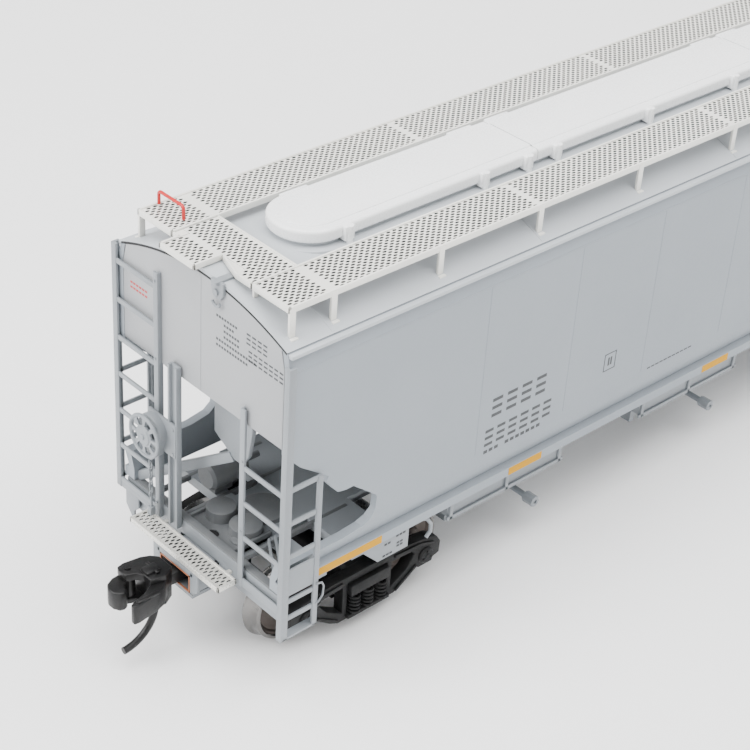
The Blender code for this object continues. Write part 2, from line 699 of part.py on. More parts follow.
def build_coupler(end):
    """A draft box with its lid, and a centred coupler with a spring knuckle."""
    name = end_name(end)
    z = COUPLER_Z
    top = z + 2.1
    cavity_y = BOX_Y - BOX_WALL
    lid_top = z - 1.35
    shell = box((BOX_BACK_X, STRIKER_X), (-BOX_Y, BOX_Y), (lid_top + 0.05, top))
    cavity = box((BOX_BACK_X + BOX_WALL, STRIKER_X + 1), (-cavity_y, cavity_y), (lid_top - 1, top - 0.7))
    post = rod((PIVOT_X, 0, lid_top + 0.1), (PIVOT_X, 0, top - 0.5), 0.9, 12)
    case = boolean(shell, [cavity], "DIFFERENCE")
    piece(f"coupler_box_{name}", "grey_plastic", [mirrored(shape, end) for shape in (case, post)])
    lid = box((BOX_BACK_X, STRIKER_X), (-BOX_Y, BOX_Y), (lid_top - 0.55, lid_top))
    piece(f"coupler_lid_{name}", "grey_plastic", [mirrored(lid, end)])
    pivot = (end * PIVOT_X, 0, z)
    head_back = STRIKER_X + 1.4
    head = prism(
        [
            (head_back, -1.2),
            (head_back, 1.2),
            (head_back + 1.6, 2.6),
            (KNUCKLE_X + 1.2, 2.9),
            (KNUCKLE_X + 1.2, 0.6),
            (KNUCKLE_X - 0.8, -0.6),
            (KNUCKLE_X - 0.4, -2.2),
            (KNUCKLE_X + 3.2, -3.3),
            (KNUCKLE_X + 3.2, -4.1),
            (head_back + 2.0, -3.2),
        ],
        "Z",
        (z - 2.6, z + 2.6),
    )
    slot = box((KNUCKLE_X - 1.5, KNUCKLE_X + 4), (-0.8, 5), (z - 1.5, z + 1.5))
    ring = rod((PIVOT_X, 0, z - 1.0), (PIVOT_X, 0, z + 1.0), 1.75, 16)
    shank = box((PIVOT_X + 1, head_back + 1), (-1.0, 1.0), (z - 0.9, z + 0.9))
    head = boolean(head, [slot], "DIFFERENCE")
    knuckle_pin = rod((KNUCKLE_X, KNUCKLE_Y, z - 2), (KNUCKLE_X, KNUCKLE_Y, z + 2), 0.45, 12)
    bends = [(0, 0), (0, -2.6), (0.2, -3.8), (0.9, -4.6), (2.0, -4.9)]
    trip = []
    for (a, b), (c, d) in zip(bends, bends[1:]):
        start = (KNUCKLE_X - 0.6 + a, -0.2, z - 2.4 + b)
        trip.append(rod(start, (KNUCKLE_X - 0.6 + c, -0.2, z - 2.4 + d), 0.33))
    shapes = [head, ring, shank, knuckle_pin] + trip
    hole = rod((PIVOT_X, 0, z - 3), (PIVOT_X, 0, z + 3), 0.98, 12)
    piece(
        f"coupler_{name}", "black_metal", [mirrored(shape, end, -end) for shape in shapes],
        [mirrored(hole, end)], pivot,
    )
    knuckle = [
        rod((KNUCKLE_X, KNUCKLE_Y, z - 1.4), (KNUCKLE_X, KNUCKLE_Y, z + 1.4), 1.0, 12),
        prism(
            [
                (KNUCKLE_X - 0.6, KNUCKLE_Y + 0.7),
                (KNUCKLE_X - 0.3, KNUCKLE_Y - 0.9),
                (KNUCKLE_X + 1.6, KNUCKLE_Y - 0.9),
                (KNUCKLE_X + 1.9, KNUCKLE_Y - 2.4),
                (KNUCKLE_X + 3.0, KNUCKLE_Y - 2.4),
                (KNUCKLE_X + 3.4, KNUCKLE_Y - 0.6),
                (KNUCKLE_X + 2.6, KNUCKLE_Y + 0.6),
            ],
            "Z",
            (z - 1.4, z + 1.4),
        ),
    ]
    bore = rod((KNUCKLE_X, KNUCKLE_Y, z - 2), (KNUCKLE_X, KNUCKLE_Y, z + 2), 0.53, 12)
    piece(
        f"knuckle_{name}", "black_metal", [mirrored(shape, end, -end) for shape in knuckle],
        [mirrored(bore, end, -end)], (end * KNUCKLE_X, -end * KNUCKLE_Y, z),
    )
    leaf_y = cavity_y - 0.1
    leaf_x = BOX_BACK_X + BOX_WALL + 0.05
    height = (z - 0.6, z + 0.6)
    arm = box((leaf_x, PIVOT_X + 1.2), (leaf_y - 0.12, leaf_y), height)
    back = box((leaf_x, leaf_x + 0.12), (-leaf_y, leaf_y), height)
    spring = [back, arm, mirrored(arm, 1, -1)]
    piece(f"coupler_spring_{name}", "bronze", [mirrored(shape, end) for shape in spring])


clear_scene()
build_body()
build_roof()
build_hatches()
build_running_boards()
build_ladders()
build_hand_brake()
build_underframe()
build_outlets()
build_air_brake()
for car_end in (-1, 1):
    pivot_hub = build_truck(car_end)
    for axle_side in (-1, 1):
        order = (1 if car_end < 0 else 3) + (axle_side > 0)
        build_wheelset(order, car_end * TRUCK_X + axle_side * WHEELBASE / 2, pivot_hub)
    build_coupler(car_end)
    build_crossover(car_end)
    build_roof_grab(car_end)
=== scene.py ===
import math

import bmesh
import bpy
from mathutils import Matrix, Vector


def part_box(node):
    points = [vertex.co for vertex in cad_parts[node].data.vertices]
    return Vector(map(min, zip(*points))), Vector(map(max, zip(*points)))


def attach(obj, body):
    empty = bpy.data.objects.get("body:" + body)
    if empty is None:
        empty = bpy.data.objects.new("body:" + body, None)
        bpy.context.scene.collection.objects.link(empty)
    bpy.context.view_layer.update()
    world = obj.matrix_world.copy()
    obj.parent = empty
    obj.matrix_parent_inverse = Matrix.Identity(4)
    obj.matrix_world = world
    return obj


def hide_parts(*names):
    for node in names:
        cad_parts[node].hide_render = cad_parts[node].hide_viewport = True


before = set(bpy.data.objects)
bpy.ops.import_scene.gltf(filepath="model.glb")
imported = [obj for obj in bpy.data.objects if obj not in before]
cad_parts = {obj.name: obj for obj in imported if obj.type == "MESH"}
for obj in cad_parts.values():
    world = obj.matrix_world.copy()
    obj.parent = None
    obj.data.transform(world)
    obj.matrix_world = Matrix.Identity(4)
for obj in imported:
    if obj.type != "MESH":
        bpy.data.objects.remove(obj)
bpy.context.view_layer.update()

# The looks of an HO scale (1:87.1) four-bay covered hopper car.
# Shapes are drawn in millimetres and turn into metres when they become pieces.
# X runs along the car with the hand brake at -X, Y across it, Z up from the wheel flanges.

MM = 0.001
ROOT = "car_body"
ENDS = {"b": -1, "a": 1}


def corners(node):
    """A CAD node's lowest and highest corner, in millimetres."""
    low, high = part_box(node)
    return [value / MM for value in low], [value / MM for value in high]


# Driving dimensions, from the frame where it gives them

END_X = corners("body_shell")[1][0]
SIDE_Y = corners("body_shell")[1][1]
EAVE_Y = corners("roof")[1][1]
FOOT_Z = corners("roof")[0][2]
COAMING_TOP = corners("roof")[1][2]
HATCH_END = corners("hatch_cover_4")[1][0]
HATCH_TOP = corners("hatch_cover_1")[1][2]
HATCH_JOINTS = [corners(f"hatch_cover_{i}")[0][0] for i in (1, 2, 3, 4)]
BOARD_X = corners("running_board_left")[1][0]
BOARD_TOP = corners("running_board_left")[1][2]
PLATFORM_LOW, PLATFORM_HIGH = corners("brake_platform")
DECK_TOP = PLATFORM_HIGH[2]
AXLE_LOW, AXLE_HIGH = corners("axle_1")
AXLE_Z = (AXLE_LOW[2] + AXLE_HIGH[2]) / 2
FLANGE_R = AXLE_Z - corners("wheel_1_left")[0][2]
COUPLER_Z = 10.55

ROOF_RISE = 3.7
ROOF_WALL = 0.6
CHORD_Z = 48.05
CURVE_Z = 21.65
TUCK_Y = 15.0
TUCK_Z = 16.85
SILL_Y = 16.0
SILL_Z = 15.15
WALL = 1.0
END_SHEET_Z = 36.95
SLOPE_FOOT = (72.5, 15.4)
BOARD_IN = 7.4
BOARD_OUT = 14.3
BOARD_THICK = 0.4
BOARD_POSTS = (0.0, 19.1, 38.7, 57.6, 74.9, 91.9, 98.1)
BOARD_JOINTS = (19.0, 57.5, 91.7)
HATCH_Y = 5.2
TRUCK_X = 82.5
WHEELBASE = 21.0
TREAD_R = FLANGE_R - 0.65
FRAME_IN = 11.5
FRAME_OUT = 13.3
LADDER_X = 100.45
LADDER_Y = 16.9
BRAKE_Y = 7.6
BRAKE_Z = 27.25
BAY_PITCH = 38.95
SHAFT_Z = 5.65
TANK_AT = (91.4, 0, 17.4)
INK_HALF = 0.012
CORE = 0.02

# The camera's place, the way it looks, its roll and its focal length

CAMERA_AT = (-213.1, -145.6, 162.8)
CAMERA_AHEAD = (0.58221, 0.59531, -0.55375)
ROLL = math.radians(3.87)
LENS = 88.2


# Materials


def link_noise(tree, scale, detail, offset=0.0):
    """A noise pattern fixed to the piece, with features about 1/scale of a metre across."""
    where = tree.nodes.new("ShaderNodeTexCoord")
    place = tree.nodes.new("ShaderNodeMapping")
    place.inputs["Location"].default_value = (offset, offset * 0.7, offset * 1.3)
    noise = tree.nodes.new("ShaderNodeTexNoise")
    noise.inputs["Scale"].default_value = scale
    noise.inputs["Detail"].default_value = detail
    tree.links.new(where.outputs["Object"], place.inputs["Vector"])
    tree.links.new(place.outputs["Vector"], noise.inputs["Vector"])
    return noise.outputs["Fac"]


def link_range(tree, value, low, high):
    """A 0.3 to 0.7 noise value spread over another range."""
    spread = tree.nodes.new("ShaderNodeMapRange")
    spread.inputs["From Min"].default_value = 0.3
    spread.inputs["From Max"].default_value = 0.7
    spread.inputs["To Min"].default_value = low
    spread.inputs["To Max"].default_value = high
    tree.links.new(value, spread.inputs["Value"])
    return spread.outputs["Result"]


def surface(
    name, colour, roughness, metallic=0.0, tint=0.05, grain=0.02, grain_size=0.25, coat=0.0, dust=0.0,
    shine=0.5,
):
    """Paint, plastic or metal: cloudy tone, fine speckle, uneven gloss and a fine skin of bumps."""
    made = bpy.data.materials.new(name)
    made.use_nodes = True
    tree = made.node_tree
    shader = tree.nodes["Principled BSDF"]
    clouds = link_noise(tree, 90.0, 3.0)
    speckle = link_noise(tree, 1 / (grain_size * MM), 2.0, 0.3)
    mix = tree.nodes.new("ShaderNodeMix")
    mix.data_type = "RGBA"
    mix.inputs["A"].default_value = (*[c * (1 - tint) for c in colour], 1)
    mix.inputs["B"].default_value = (*[min(1.0, c * (1 + tint)) for c in colour], 1)
    tree.links.new(link_range(tree, clouds, 0.0, 1.0), mix.inputs["Factor"])
    dusty = tree.nodes.new("ShaderNodeMix")
    dusty.data_type = "RGBA"
    dusty.inputs["B"].default_value = (0.32, 0.30, 0.27, 1)
    tree.links.new(mix.outputs["Result"], dusty.inputs["A"])
    tree.links.new(link_range(tree, link_noise(tree, 400.0, 4.0, 0.9), 0.0, dust), dusty.inputs["Factor"])
    tree.links.new(dusty.outputs["Result"], shader.inputs["Base Color"])
    tree.links.new(link_range(tree, speckle, roughness - 0.06, roughness + 0.06), shader.inputs["Roughness"])
    shader.inputs["Metallic"].default_value = metallic
    shader.inputs["Coat Weight"].default_value = coat
    shader.inputs["Specular IOR Level"].default_value = shine
    bump = tree.nodes.new("ShaderNodeBump")
    bump.inputs["Strength"].default_value = 0.5
    bump.inputs["Distance"].default_value = grain * MM
    tree.links.new(speckle, bump.inputs["Height"])
    tree.links.new(bump.outputs["Normal"], shader.inputs["Normal"])
    return made


def turned_metal(name, colour, roughness, pitch=0.16):
    """Metal with the fine rings that turning leaves round the piece's own Y axis."""
    made = surface(name, colour, roughness, metallic=1.0, tint=0.12, grain=0.01)
    tree = made.node_tree
    shader = tree.nodes["Principled BSDF"]
    where = tree.nodes.new("ShaderNodeTexCoord")
    rings = tree.nodes.new("ShaderNodeTexWave")
    rings.wave_type = "RINGS"
    rings.rings_direction = "Y"
    rings.inputs["Scale"].default_value = 1 / (20 * pitch * MM)
    rings.inputs["Distortion"].default_value = 0.4
    tree.links.new(where.outputs["Object"], rings.inputs["Vector"])
    bump = tree.nodes.new("ShaderNodeBump")
    bump.inputs["Strength"].default_value = 0.35
    bump.inputs["Distance"].default_value = 0.02 * MM
    tree.links.new(rings.outputs["Fac"], bump.inputs["Height"])
    tree.links.new(bump.outputs["Normal"], shader.inputs["Normal"])
    return made


PAINTS_AND_METALS = (
    surface("body_paint", (0.245, 0.272, 0.300), 0.45, tint=0.025, grain=0.012),
    # The body grey made lighter for the end sheets: painted light, as the lamp falls on the ends.
    surface("end_paint_lit", (0.31, 0.318, 0.33), 0.45, tint=0.03, grain=0.012),
    # The body grey made much lighter for the roof: painted light, as the top is lit from above.
    surface("roof_paint_lit", (0.42, 0.445, 0.47), 0.42, tint=0.03, grain=0.012),
    surface("detail_paint", (0.215, 0.233, 0.25), 0.40, tint=0.05, grain=0.015),
    # The end bays' deck, pads and brake ram in a darkened grey: painted shade, with random dust mixed in.
    surface("deck_shade_paint", (0.11, 0.118, 0.125), 0.50, tint=0.10, grain=0.02, dust=0.10),
    surface("hatch_white", (0.93, 0.94, 0.945), 0.28, tint=0.015, grain=0.008, coat=0.25),
    surface("walk_etch", (0.80, 0.79, 0.74), 0.36, metallic=0.1, tint=0.05, grain=0.015),
    # Near-black painted shade for the etched sheets' hole walls and undersides.
    surface("walk_painted_shade", (0.055, 0.055, 0.052), 0.6, tint=0.1, grain=0.02),
    surface("platform_etch", (0.72, 0.71, 0.66), 0.30, metallic=0.4, tint=0.08, grain=0.02),
    surface("red_wire", (0.50, 0.012, 0.012), 0.35, tint=0.10, grain=0.01),
    surface("reflector", (0.55, 0.27, 0.0), 0.6, tint=0.06, grain=0.02, grain_size=0.12, shine=0.2),
    # The slope sheets' grey darkened to painted shade of the end bays, with some random dust.
    surface("slope_shade_paint", (0.13, 0.135, 0.14), 0.50, tint=0.06, grain=0.02, dust=0.05),
    surface("marking_ink", (0.035, 0.038, 0.042), 0.55, tint=0.15, grain=0.004),
    surface("marking_red", (0.48, 0.02, 0.02), 0.55, tint=0.10, grain=0.004),
    surface("striker_rust", (0.40, 0.13, 0.05), 0.60, tint=0.25, grain=0.03, dust=0.2),
    surface("truck_black", (0.008, 0.0084, 0.009), 0.55, tint=0.25, grain=0.03, dust=0.02, shine=0.18),
    surface(
        "coupler_black", (0.006, 0.006, 0.0065), 0.36, metallic=0.1, tint=0.3, grain=0.04, dust=0.02,
        shine=0.3,
    ),
    # Flat near-black painted shade, put in grooves, gaps and holes.
    surface("painted_shade_black", (0.012, 0.012, 0.013), 0.75, tint=0.2, grain=0.02),
    turned_metal("wheel_face", (0.085, 0.072, 0.065), 0.42),
    turned_metal("wheel_tread", (0.17, 0.165, 0.16), 0.20, pitch=0.10),
    turned_metal("axle_steel", (0.45, 0.45, 0.45), 0.30),
    surface("bare_steel", (0.50, 0.50, 0.50), 0.35, metallic=1.0, tint=0.1, grain=0.02),
    surface("bronze_leaf", (0.60, 0.40, 0.18), 0.30, metallic=1.0, tint=0.1, grain=0.01),
)
FINISHES = {made.name: made for made in PAINTS_AND_METALS}


# Shapes, in millimetres


def mesh_of(points, faces):
    mesh = bpy.data.meshes.new("shape")
    mesh.from_pydata([tuple(point) for point in points], [], faces)
    work = bmesh.new()
    work.from_mesh(mesh)
    bmesh.ops.recalc_face_normals(work, faces=work.faces)
    work.to_mesh(mesh)
    work.free()
    return mesh


def about(middle, half):
    """The span that reaches this far to each side of a middle."""
    return (middle - half, middle + half)


def box(x, y, z):
    """A block between two places on each axis."""
    points = [(a, b, c) for a in sorted(x) for b in sorted(y) for c in sorted(z)]
    faces = [(0, 1, 3, 2), (4, 6, 7, 5), (0, 4, 5, 1), (2, 3, 7, 6), (0, 2, 6, 4), (1, 5, 7, 3)]
    return mesh_of(points, faces)


def prism(outline, axis, span):
    """A flat outline drawn out along an axis: (y, z) along X, (x, z) along Y or (x, y) along Z."""
    place = {
        "X": lambda a, b, t: (t, a, b),
        "Y": lambda a, b, t: (a, t, b),
        "Z": lambda a, b, t: (a, b, t),
    }[axis]
    count = len(outline)
    points = [place(a, b, t) for t in sorted(span) for a, b in outline]
    faces = [tuple(range(count)), tuple(range(2 * count - 1, count - 1, -1))]
    for i in range(count):
        j = (i + 1) % count
        faces.append((i, j, j + count, i + count))
    return mesh_of(points, faces)


def hull(points):
    """The convex solid around some points."""
    work = bmesh.new()
    for point in points:
        work.verts.new(point)
    found = bmesh.ops.convex_hull(work, input=work.verts)
    loose = [item for item in found["geom_interior"] if isinstance(item, bmesh.types.BMVert)]
    bmesh.ops.delete(work, geom=loose, context="VERTS")
    bmesh.ops.recalc_face_normals(work, faces=work.faces)
    mesh = bpy.data.meshes.new("shape")
    work.to_mesh(mesh)
    work.free()
    return mesh


def tube(route, radius, sides=12, closed=False):
    """A round bar swept along a list of points."""
    route = [Vector(point) for point in route]
    count = len(route)
    points = []
    side = None
    for i, point in enumerate(route):
        before = route[i - 1] if i or closed else point
        after = route[(i + 1) % count] if i < count - 1 or closed else point
        ahead = (after - before).normalized()
        if side is None:
            side = ahead.orthogonal().normalized()
        side = (side - ahead * side.dot(ahead)).normalized()
        across = ahead.cross(side)
        for step in range(sides):
            angle = 2 * math.pi * step / sides
            points.append(point + (side * math.cos(angle) + across * math.sin(angle)) * radius)
    faces = []
    for i in range(count if closed else count - 1):
        j = (i + 1) % count
        for step in range(sides):
            after = (step + 1) % sides
            faces.append((i * sides + step, i * sides + after, j * sides + after, j * sides + step))
    if not closed:
        faces.append(tuple(range(sides)))
        faces.append(tuple(range(count * sides - 1, (count - 1) * sides - 1, -1)))
    return mesh_of(points, faces)


def arc(centre, radius, start, end, steps, plane="XZ"):
    """Points round part of a circle, in degrees, in the plane of two axes."""
    points = []
    for i in range(steps + 1):
        angle = math.radians(start + (end - start) * i / steps)
        a = radius * math.cos(angle)
        b = radius * math.sin(angle)
        offset = {"XZ": (a, 0, b), "YZ": (0, a, b), "XY": (a, b, 0)}[plane]
        points.append(tuple(c + d for c, d in zip(centre, offset)))
    return points


def turned(profile, axis, centre, sides, ring=True):
    """A profile of (radius, distance along the axis) points turned round the axis."""
    place = {
        "X": lambda r, t, c, s: (t, r * c, r * s),
        "Y": lambda r, t, c, s: (r * s, t, -r * c),
        "Z": lambda r, t, c, s: (r * c, r * s, t),
    }[axis]
    rows = len(profile)
    points = []
    for step in range(sides):
        angle = 2 * math.pi * step / sides
        for r, t in profile:
            spot = Vector(place(r, t, math.cos(angle), math.sin(angle)))
            points.append(spot + Vector(centre))
    faces = []
    for step in range(sides):
        ahead = (step + 1) % sides
        for i in range(rows if ring else rows - 1):
            j = (i + 1) % rows
            faces.append((step * rows + i, step * rows + j, ahead * rows + j, ahead * rows + i))
    if not ring:
        faces.append([step * rows for step in range(sides)])
        faces.append([step * rows + rows - 1 for step in range(sides)])
    return mesh_of(points, faces)


def knob(profile, axis, centre, sides):
    """A profile turned round the axis and closed on it at both ends."""
    closed = [(CORE, profile[0][1]), *profile, (CORE, profile[-1][1])]
    return turned(closed, axis, centre, sides, ring=False)


def stadium(half_length, half_width, steps=24):
    """The outline of a long bar with round ends, seen from above."""
    outline = []
    for end in (1, -1):
        for i in range(steps + 1):
            angle = math.pi * i / steps - math.pi / 2
            x = end * (half_length - half_width + half_width * math.cos(angle))
            outline.append((x, end * half_width * math.sin(angle)))
    return outline


def perforated(x, y, z, pitch, row, hole, plain=()):
    """A sheet of staggered six-sided holes, with none in the plain bands, given as (from, to) along X.

    Each cell is two columns wide and every other row starts one column later, so cells share corners."""
    columns = 2 * round((x[1] - x[0]) / pitch)
    rows = round((y[1] - y[0]) / row)
    wide = (x[1] - x[0]) / columns
    deep = (y[1] - y[0]) / rows
    points = [(x[0] + i * wide, y[0] + j * deep, z) for j in range(rows + 1) for i in range(columns + 1)]
    faces = []

    def at(i, j):
        return j * (columns + 1) + i

    for j in range(rows):
        i = 0
        if j % 2:
            faces.append((at(0, j), at(1, j), at(1, j + 1), at(0, j + 1)))
            i = 1
        while i + 2 <= columns:
            rim = [at(i, j), at(i + 1, j), at(i + 2, j), at(i + 2, j + 1), at(i + 1, j + 1), at(i, j + 1)]
            middle = x[0] + (i + 1) * wide
            if any(low < middle < high for low, high in plain):
                faces.append(tuple(rim))
            else:
                inner = []
                for angle in (210, 270, 330, 30, 90, 150):
                    inner.append(len(points))
                    across = hole[0] / 2 * math.cos(math.radians(angle))
                    up = hole[1] / 2 * math.sin(math.radians(angle))
                    points.append((middle + across, y[0] + (j + 0.5) * deep + up, z))
                for k in range(6):
                    m = (k + 1) % 6
                    faces.append((rim[k], rim[m], inner[m], inner[k]))
            i += 2
        if i < columns:
            faces.append((at(i, j), at(columns, j), at(columns, j + 1), at(i, j + 1)))
    mesh = bpy.data.meshes.new("sheet")
    mesh.from_pydata(points, [], faces)
    return mesh


def thickened(mesh, thickness):
    """The closed solid of a flat sheet, drawn downwards. Its hole walls and underside take a near-black
    painted shade, so the holes read dark.
    """
    mesh.materials.append(FINISHES["walk_etch"])
    mesh.materials.append(FINISHES["walk_painted_shade"])
    looks = {"material_offset": 1, "material_offset_rim": 1}
    return applied(mesh, "SOLIDIFY", thickness=thickness, offset=-1.0, use_even_offset=False, **looks)


def applied(mesh, kind, **settings):
    """A mesh with one modifier made permanent."""
    holder = bpy.data.objects.new("holder", mesh)
    bpy.context.scene.collection.objects.link(holder)
    step = holder.modifiers.new("step", kind)
    for key, value in settings.items():
        setattr(step, key, value)
    graph = bpy.context.evaluated_depsgraph_get()
    result = bpy.data.meshes.new_from_object(holder.evaluated_get(graph))
    bpy.data.objects.remove(holder, do_unlink=True)
    return result


def cut(mesh, cutters):
    """A mesh with some others taken away."""
    for cutter in cutters:
        tool = bpy.data.objects.new("tool", cutter)
        bpy.context.scene.collection.objects.link(tool)
        mesh = applied(mesh, "BOOLEAN", operation="DIFFERENCE", solver="EXACT", object=tool)
        bpy.data.objects.remove(tool, do_unlink=True)
    return mesh


def rounded(mesh, width, segments=2, angle=30):
    """A mesh with its edges softened."""
    return applied(
        mesh, "BEVEL", width=width, segments=segments, limit_method="ANGLE", angle_limit=math.radians(angle)
    )


def soft_box(x, y, z, width=0.08):
    return rounded(box(x, y, z), width)


def soft_prism(outline, axis, span, width, segments=2):
    return rounded(prism(outline, axis, span), width, segments)


def mirrored(mesh, x=1, y=1):
    """A copy of a shape on the other side of the car."""
    copy = mesh.copy()
    copy.transform(Matrix.Diagonal((x, y, 1, 1)))
    if x * y < 0:
        copy.flip_normals()
    return copy


def moved(mesh, x=0.0, y=0.0, z=0.0):
    copy = mesh.copy()
    copy.transform(Matrix.Translation((x, y, z)))
    return copy


def with_twin(shapes):
    """Shapes, and the same ones turned half round to the car's other end."""
    return shapes + [mirrored(shape, -1, -1) for shape in shapes]


def both_sides(shapes):
    return [mirrored(shape, 1, side) for shape in shapes for side in (-1, 1)]


def both_ends(shapes):
    return [mirrored(shape, end, 1) for shape in shapes for end in (-1, 1)]


def half_turn(shapes, end):
    """Shapes drawn for the brake end, at -X, put at either end of the car by turning it half round."""
    return [mirrored(shape, -end, -end) for shape in shapes]


def show(
    name, shapes, finish="detail_paint", body=ROOT, stands_for=(), origin=(0, 0, 0),
    sharp=35,
):
    """Joins shapes into one visible piece that rides on a body, in the small parts' look if none is given."""
    work = bmesh.new()
    for shape in shapes:
        work.from_mesh(shape)
    mesh = bpy.data.meshes.new(name)
    work.to_mesh(mesh)
    work.free()
    mesh.transform(Matrix.Scale(MM, 4) @ Matrix.Translation(-Vector(origin)))
    mesh.materials.append(FINISHES[finish])
    # Thickened sheets carry a second slot: the near-black painted shade of their hole walls and undersides.
    if any(len(shape.materials) > 1 for shape in shapes):
        mesh.materials.append(FINISHES["walk_painted_shade"])
    mesh.shade_smooth()
    mesh.set_sharp_from_angle(angle=math.radians(sharp))
    made = bpy.data.objects.new(name, mesh)
    made.location = Vector(origin) * MM
    bpy.context.scene.collection.objects.link(made)
    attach(made, body)
    if stands_for:
        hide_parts(*stands_for)
    return made


def refinish(node, finish):
    """A CAD node that keeps its shape and gets a finished material."""
    for slot_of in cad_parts[node].material_slots:
        slot_of.material = FINISHES[finish]


# Body


def side_sheet():
    """The side at +Y: an eave band, a flat sheet, a tucked-in foot and a sill flange."""
    steps = 10
    tuck = []
    for i in range(steps + 1):
        t = i / steps
        y = TUCK_Y + (SIDE_Y - TUCK_Y) * math.sin(t * math.pi / 2)
        tuck.append((y, TUCK_Z + (CURVE_Z - TUCK_Z) * t))
    outer = [(SILL_Y, SILL_Z), (SILL_Y, SILL_Z + 1.4)] + tuck
    outer += [(SIDE_Y, CHORD_Z - 0.15), (SIDE_Y + 0.12, CHORD_Z), (SIDE_Y - 0.05, CHORD_Z + 0.5)]
    outer += [(EAVE_Y + 0.12, FOOT_Z - 0.35), (EAVE_Y, FOOT_Z - 0.1)]
    inner = [(TUCK_Y - WALL, SILL_Z), (TUCK_Y - WALL, TUCK_Z), (SIDE_Y - WALL, CURVE_Z)]
    inner += [(SIDE_Y - WALL, CHORD_Z), (EAVE_Y - WALL, FOOT_Z - 0.1)]
    return prism(outer + inner[::-1], "X", (-END_X, END_X))


def side_cutout():
    """The opening under the slope sheet, at the +X +Y corner, with its pointed fin and round back."""
    outline = [(END_X + 1, END_SHEET_Z - 0.6), (END_X, END_SHEET_Z - 0.6), (97.9, 34.1), (94.2, 31.4)]
    outline += [(93.3, 30.7), (93.6, 29.9), (92.6, 28.6), (91.7, 27.6), (90.4, 27.3), (89.1, 27.3)]
    outline += [(85.9 + 0.9 * math.cos(a), 23.6 + 0.9 * math.sin(a)) for a in (1.9, 2.6, 3.1)]
    outline += [(85.1, 21.9), (85.8, 20.5), (87.0, 19.8), (90.0, 19.4), (END_X + 1, 19.4)]
    return prism(outline, "Y", (TUCK_Y - 1.8, SIDE_Y + 1))


def build_body():
    cutout = side_cutout()
    sides = both_sides([cut(side_sheet(), both_ends([cutout]))])
    show("side_sheets", sides, "body_paint", stands_for=("body_shell",), sharp=22)
    shoulder = EAVE_Y - ROOF_WALL - 0.1
    crown = [1 - i / 20 for i in range(41)]
    arch = [(shoulder * t, FOOT_Z - 0.1 + (ROOF_RISE - ROOF_WALL) * (1 - t * t)) for t in crown]
    lower = [(SIDE_Y - 0.8, END_SHEET_Z), (SIDE_Y - 0.8, CHORD_Z)]
    outline = lower + arch + [(-y, z) for y, z in lower[::-1]]
    sheet = soft_prism(outline, "X", (END_X - 1.0, END_X), 0.12)
    seam = soft_box((END_X - 0.1, END_X + 0.05), (-0.12, 0.12), (END_SHEET_Z + 0.3, FOOT_Z + 2.4), 0.03)
    show("end_sheets", both_ends([sheet, seam]), "end_paint_lit")
    foot_x, foot_z = SLOPE_FOOT
    high = END_SHEET_Z + 0.4
    half = SIDE_Y - 0.7

    def station(z, width):
        x = foot_x + (z - foot_z) / (END_SHEET_Z - foot_z) * (END_X - 0.6 - foot_x)
        return [(x + dx, side * width, z) for dx in (-1.2, 0) for side in (-1, 1)]

    slopes = [
        hull(station(high, half) + station(CURVE_Z, half)),
        hull(station(CURVE_Z + 0.2, half) + station(foot_z, TUCK_Y - 0.5)),
    ]
    rib_end = END_X - 2.5
    rib = [
        (foot_x + 2, foot_z + 1), (rib_end, END_SHEET_Z - 1.6), (rib_end, END_SHEET_Z - 0.4),
        (foot_x + 1, foot_z + 1),
    ]
    ribs = [prism(rib, "Y", about(y, 0.25)) for y in (-9.5, 9.5)]
    # The slope sheets take a darker grey: painted shade of the end bays.
    show("slope_sheets", both_ends(slopes + ribs), "slope_shade_paint")
    seams = []
    for x in (-67.5, -50.7, -34.5, -17.3, 0.0, 17.3, 34.5, 50.7, 67.5):
        seams.append(box(about(x, 0.09), (SIDE_Y - 0.05, SIDE_Y + 0.025), (CURVE_Z + 0.4, CHORD_Z - 0.3)))
    show("side_seams", both_sides(seams), "body_paint")
    plate = [(-86.6, SILL_Z), (-83.4, 11.95), (-78.1, 11.95), (-78.1, SILL_Z)]
    plate = soft_prism(plate, "Y", (-15.8, -15.3), 0.08)
    show("data_plates", with_twin([plate]), "detail_paint")


def build_reflectors():
    """Amber strips along the sill flange."""
    strips = []
    thin = (SILL_Y - 0.02, SILL_Y + 0.04)
    for low, high in ((83.2, 94.0), (53.6, 60.0), (13.0, 19.0)):
        for side in (-1, 1):
            strips.append(box((side * low, side * high), thin, (SILL_Z + 0.1, SILL_Z + 1.25)))
    show("reflectors", both_sides(strips), "reflector")


def ink_row(start, width, z, height, step, gap, y):
    """A row of short bars that stands for a painted marking, on the side at y."""
    bars = []
    x = start
    while x < start + width - 0.01:
        bars.append(box((x, x + step - gap), about(y, INK_HALF), (z, z + height)))
        x += step
    return bars


def ink_block(start, width, z, height, step, gap, y):
    """Three thin rows of bars, one over the other, as dense as a line of large lettering."""
    thin = height * 0.17
    rows = []
    for level in (0, 1, 2):
        rows += ink_row(start, width, z + level * (height - thin) / 2, thin, step, gap, y)
    return rows


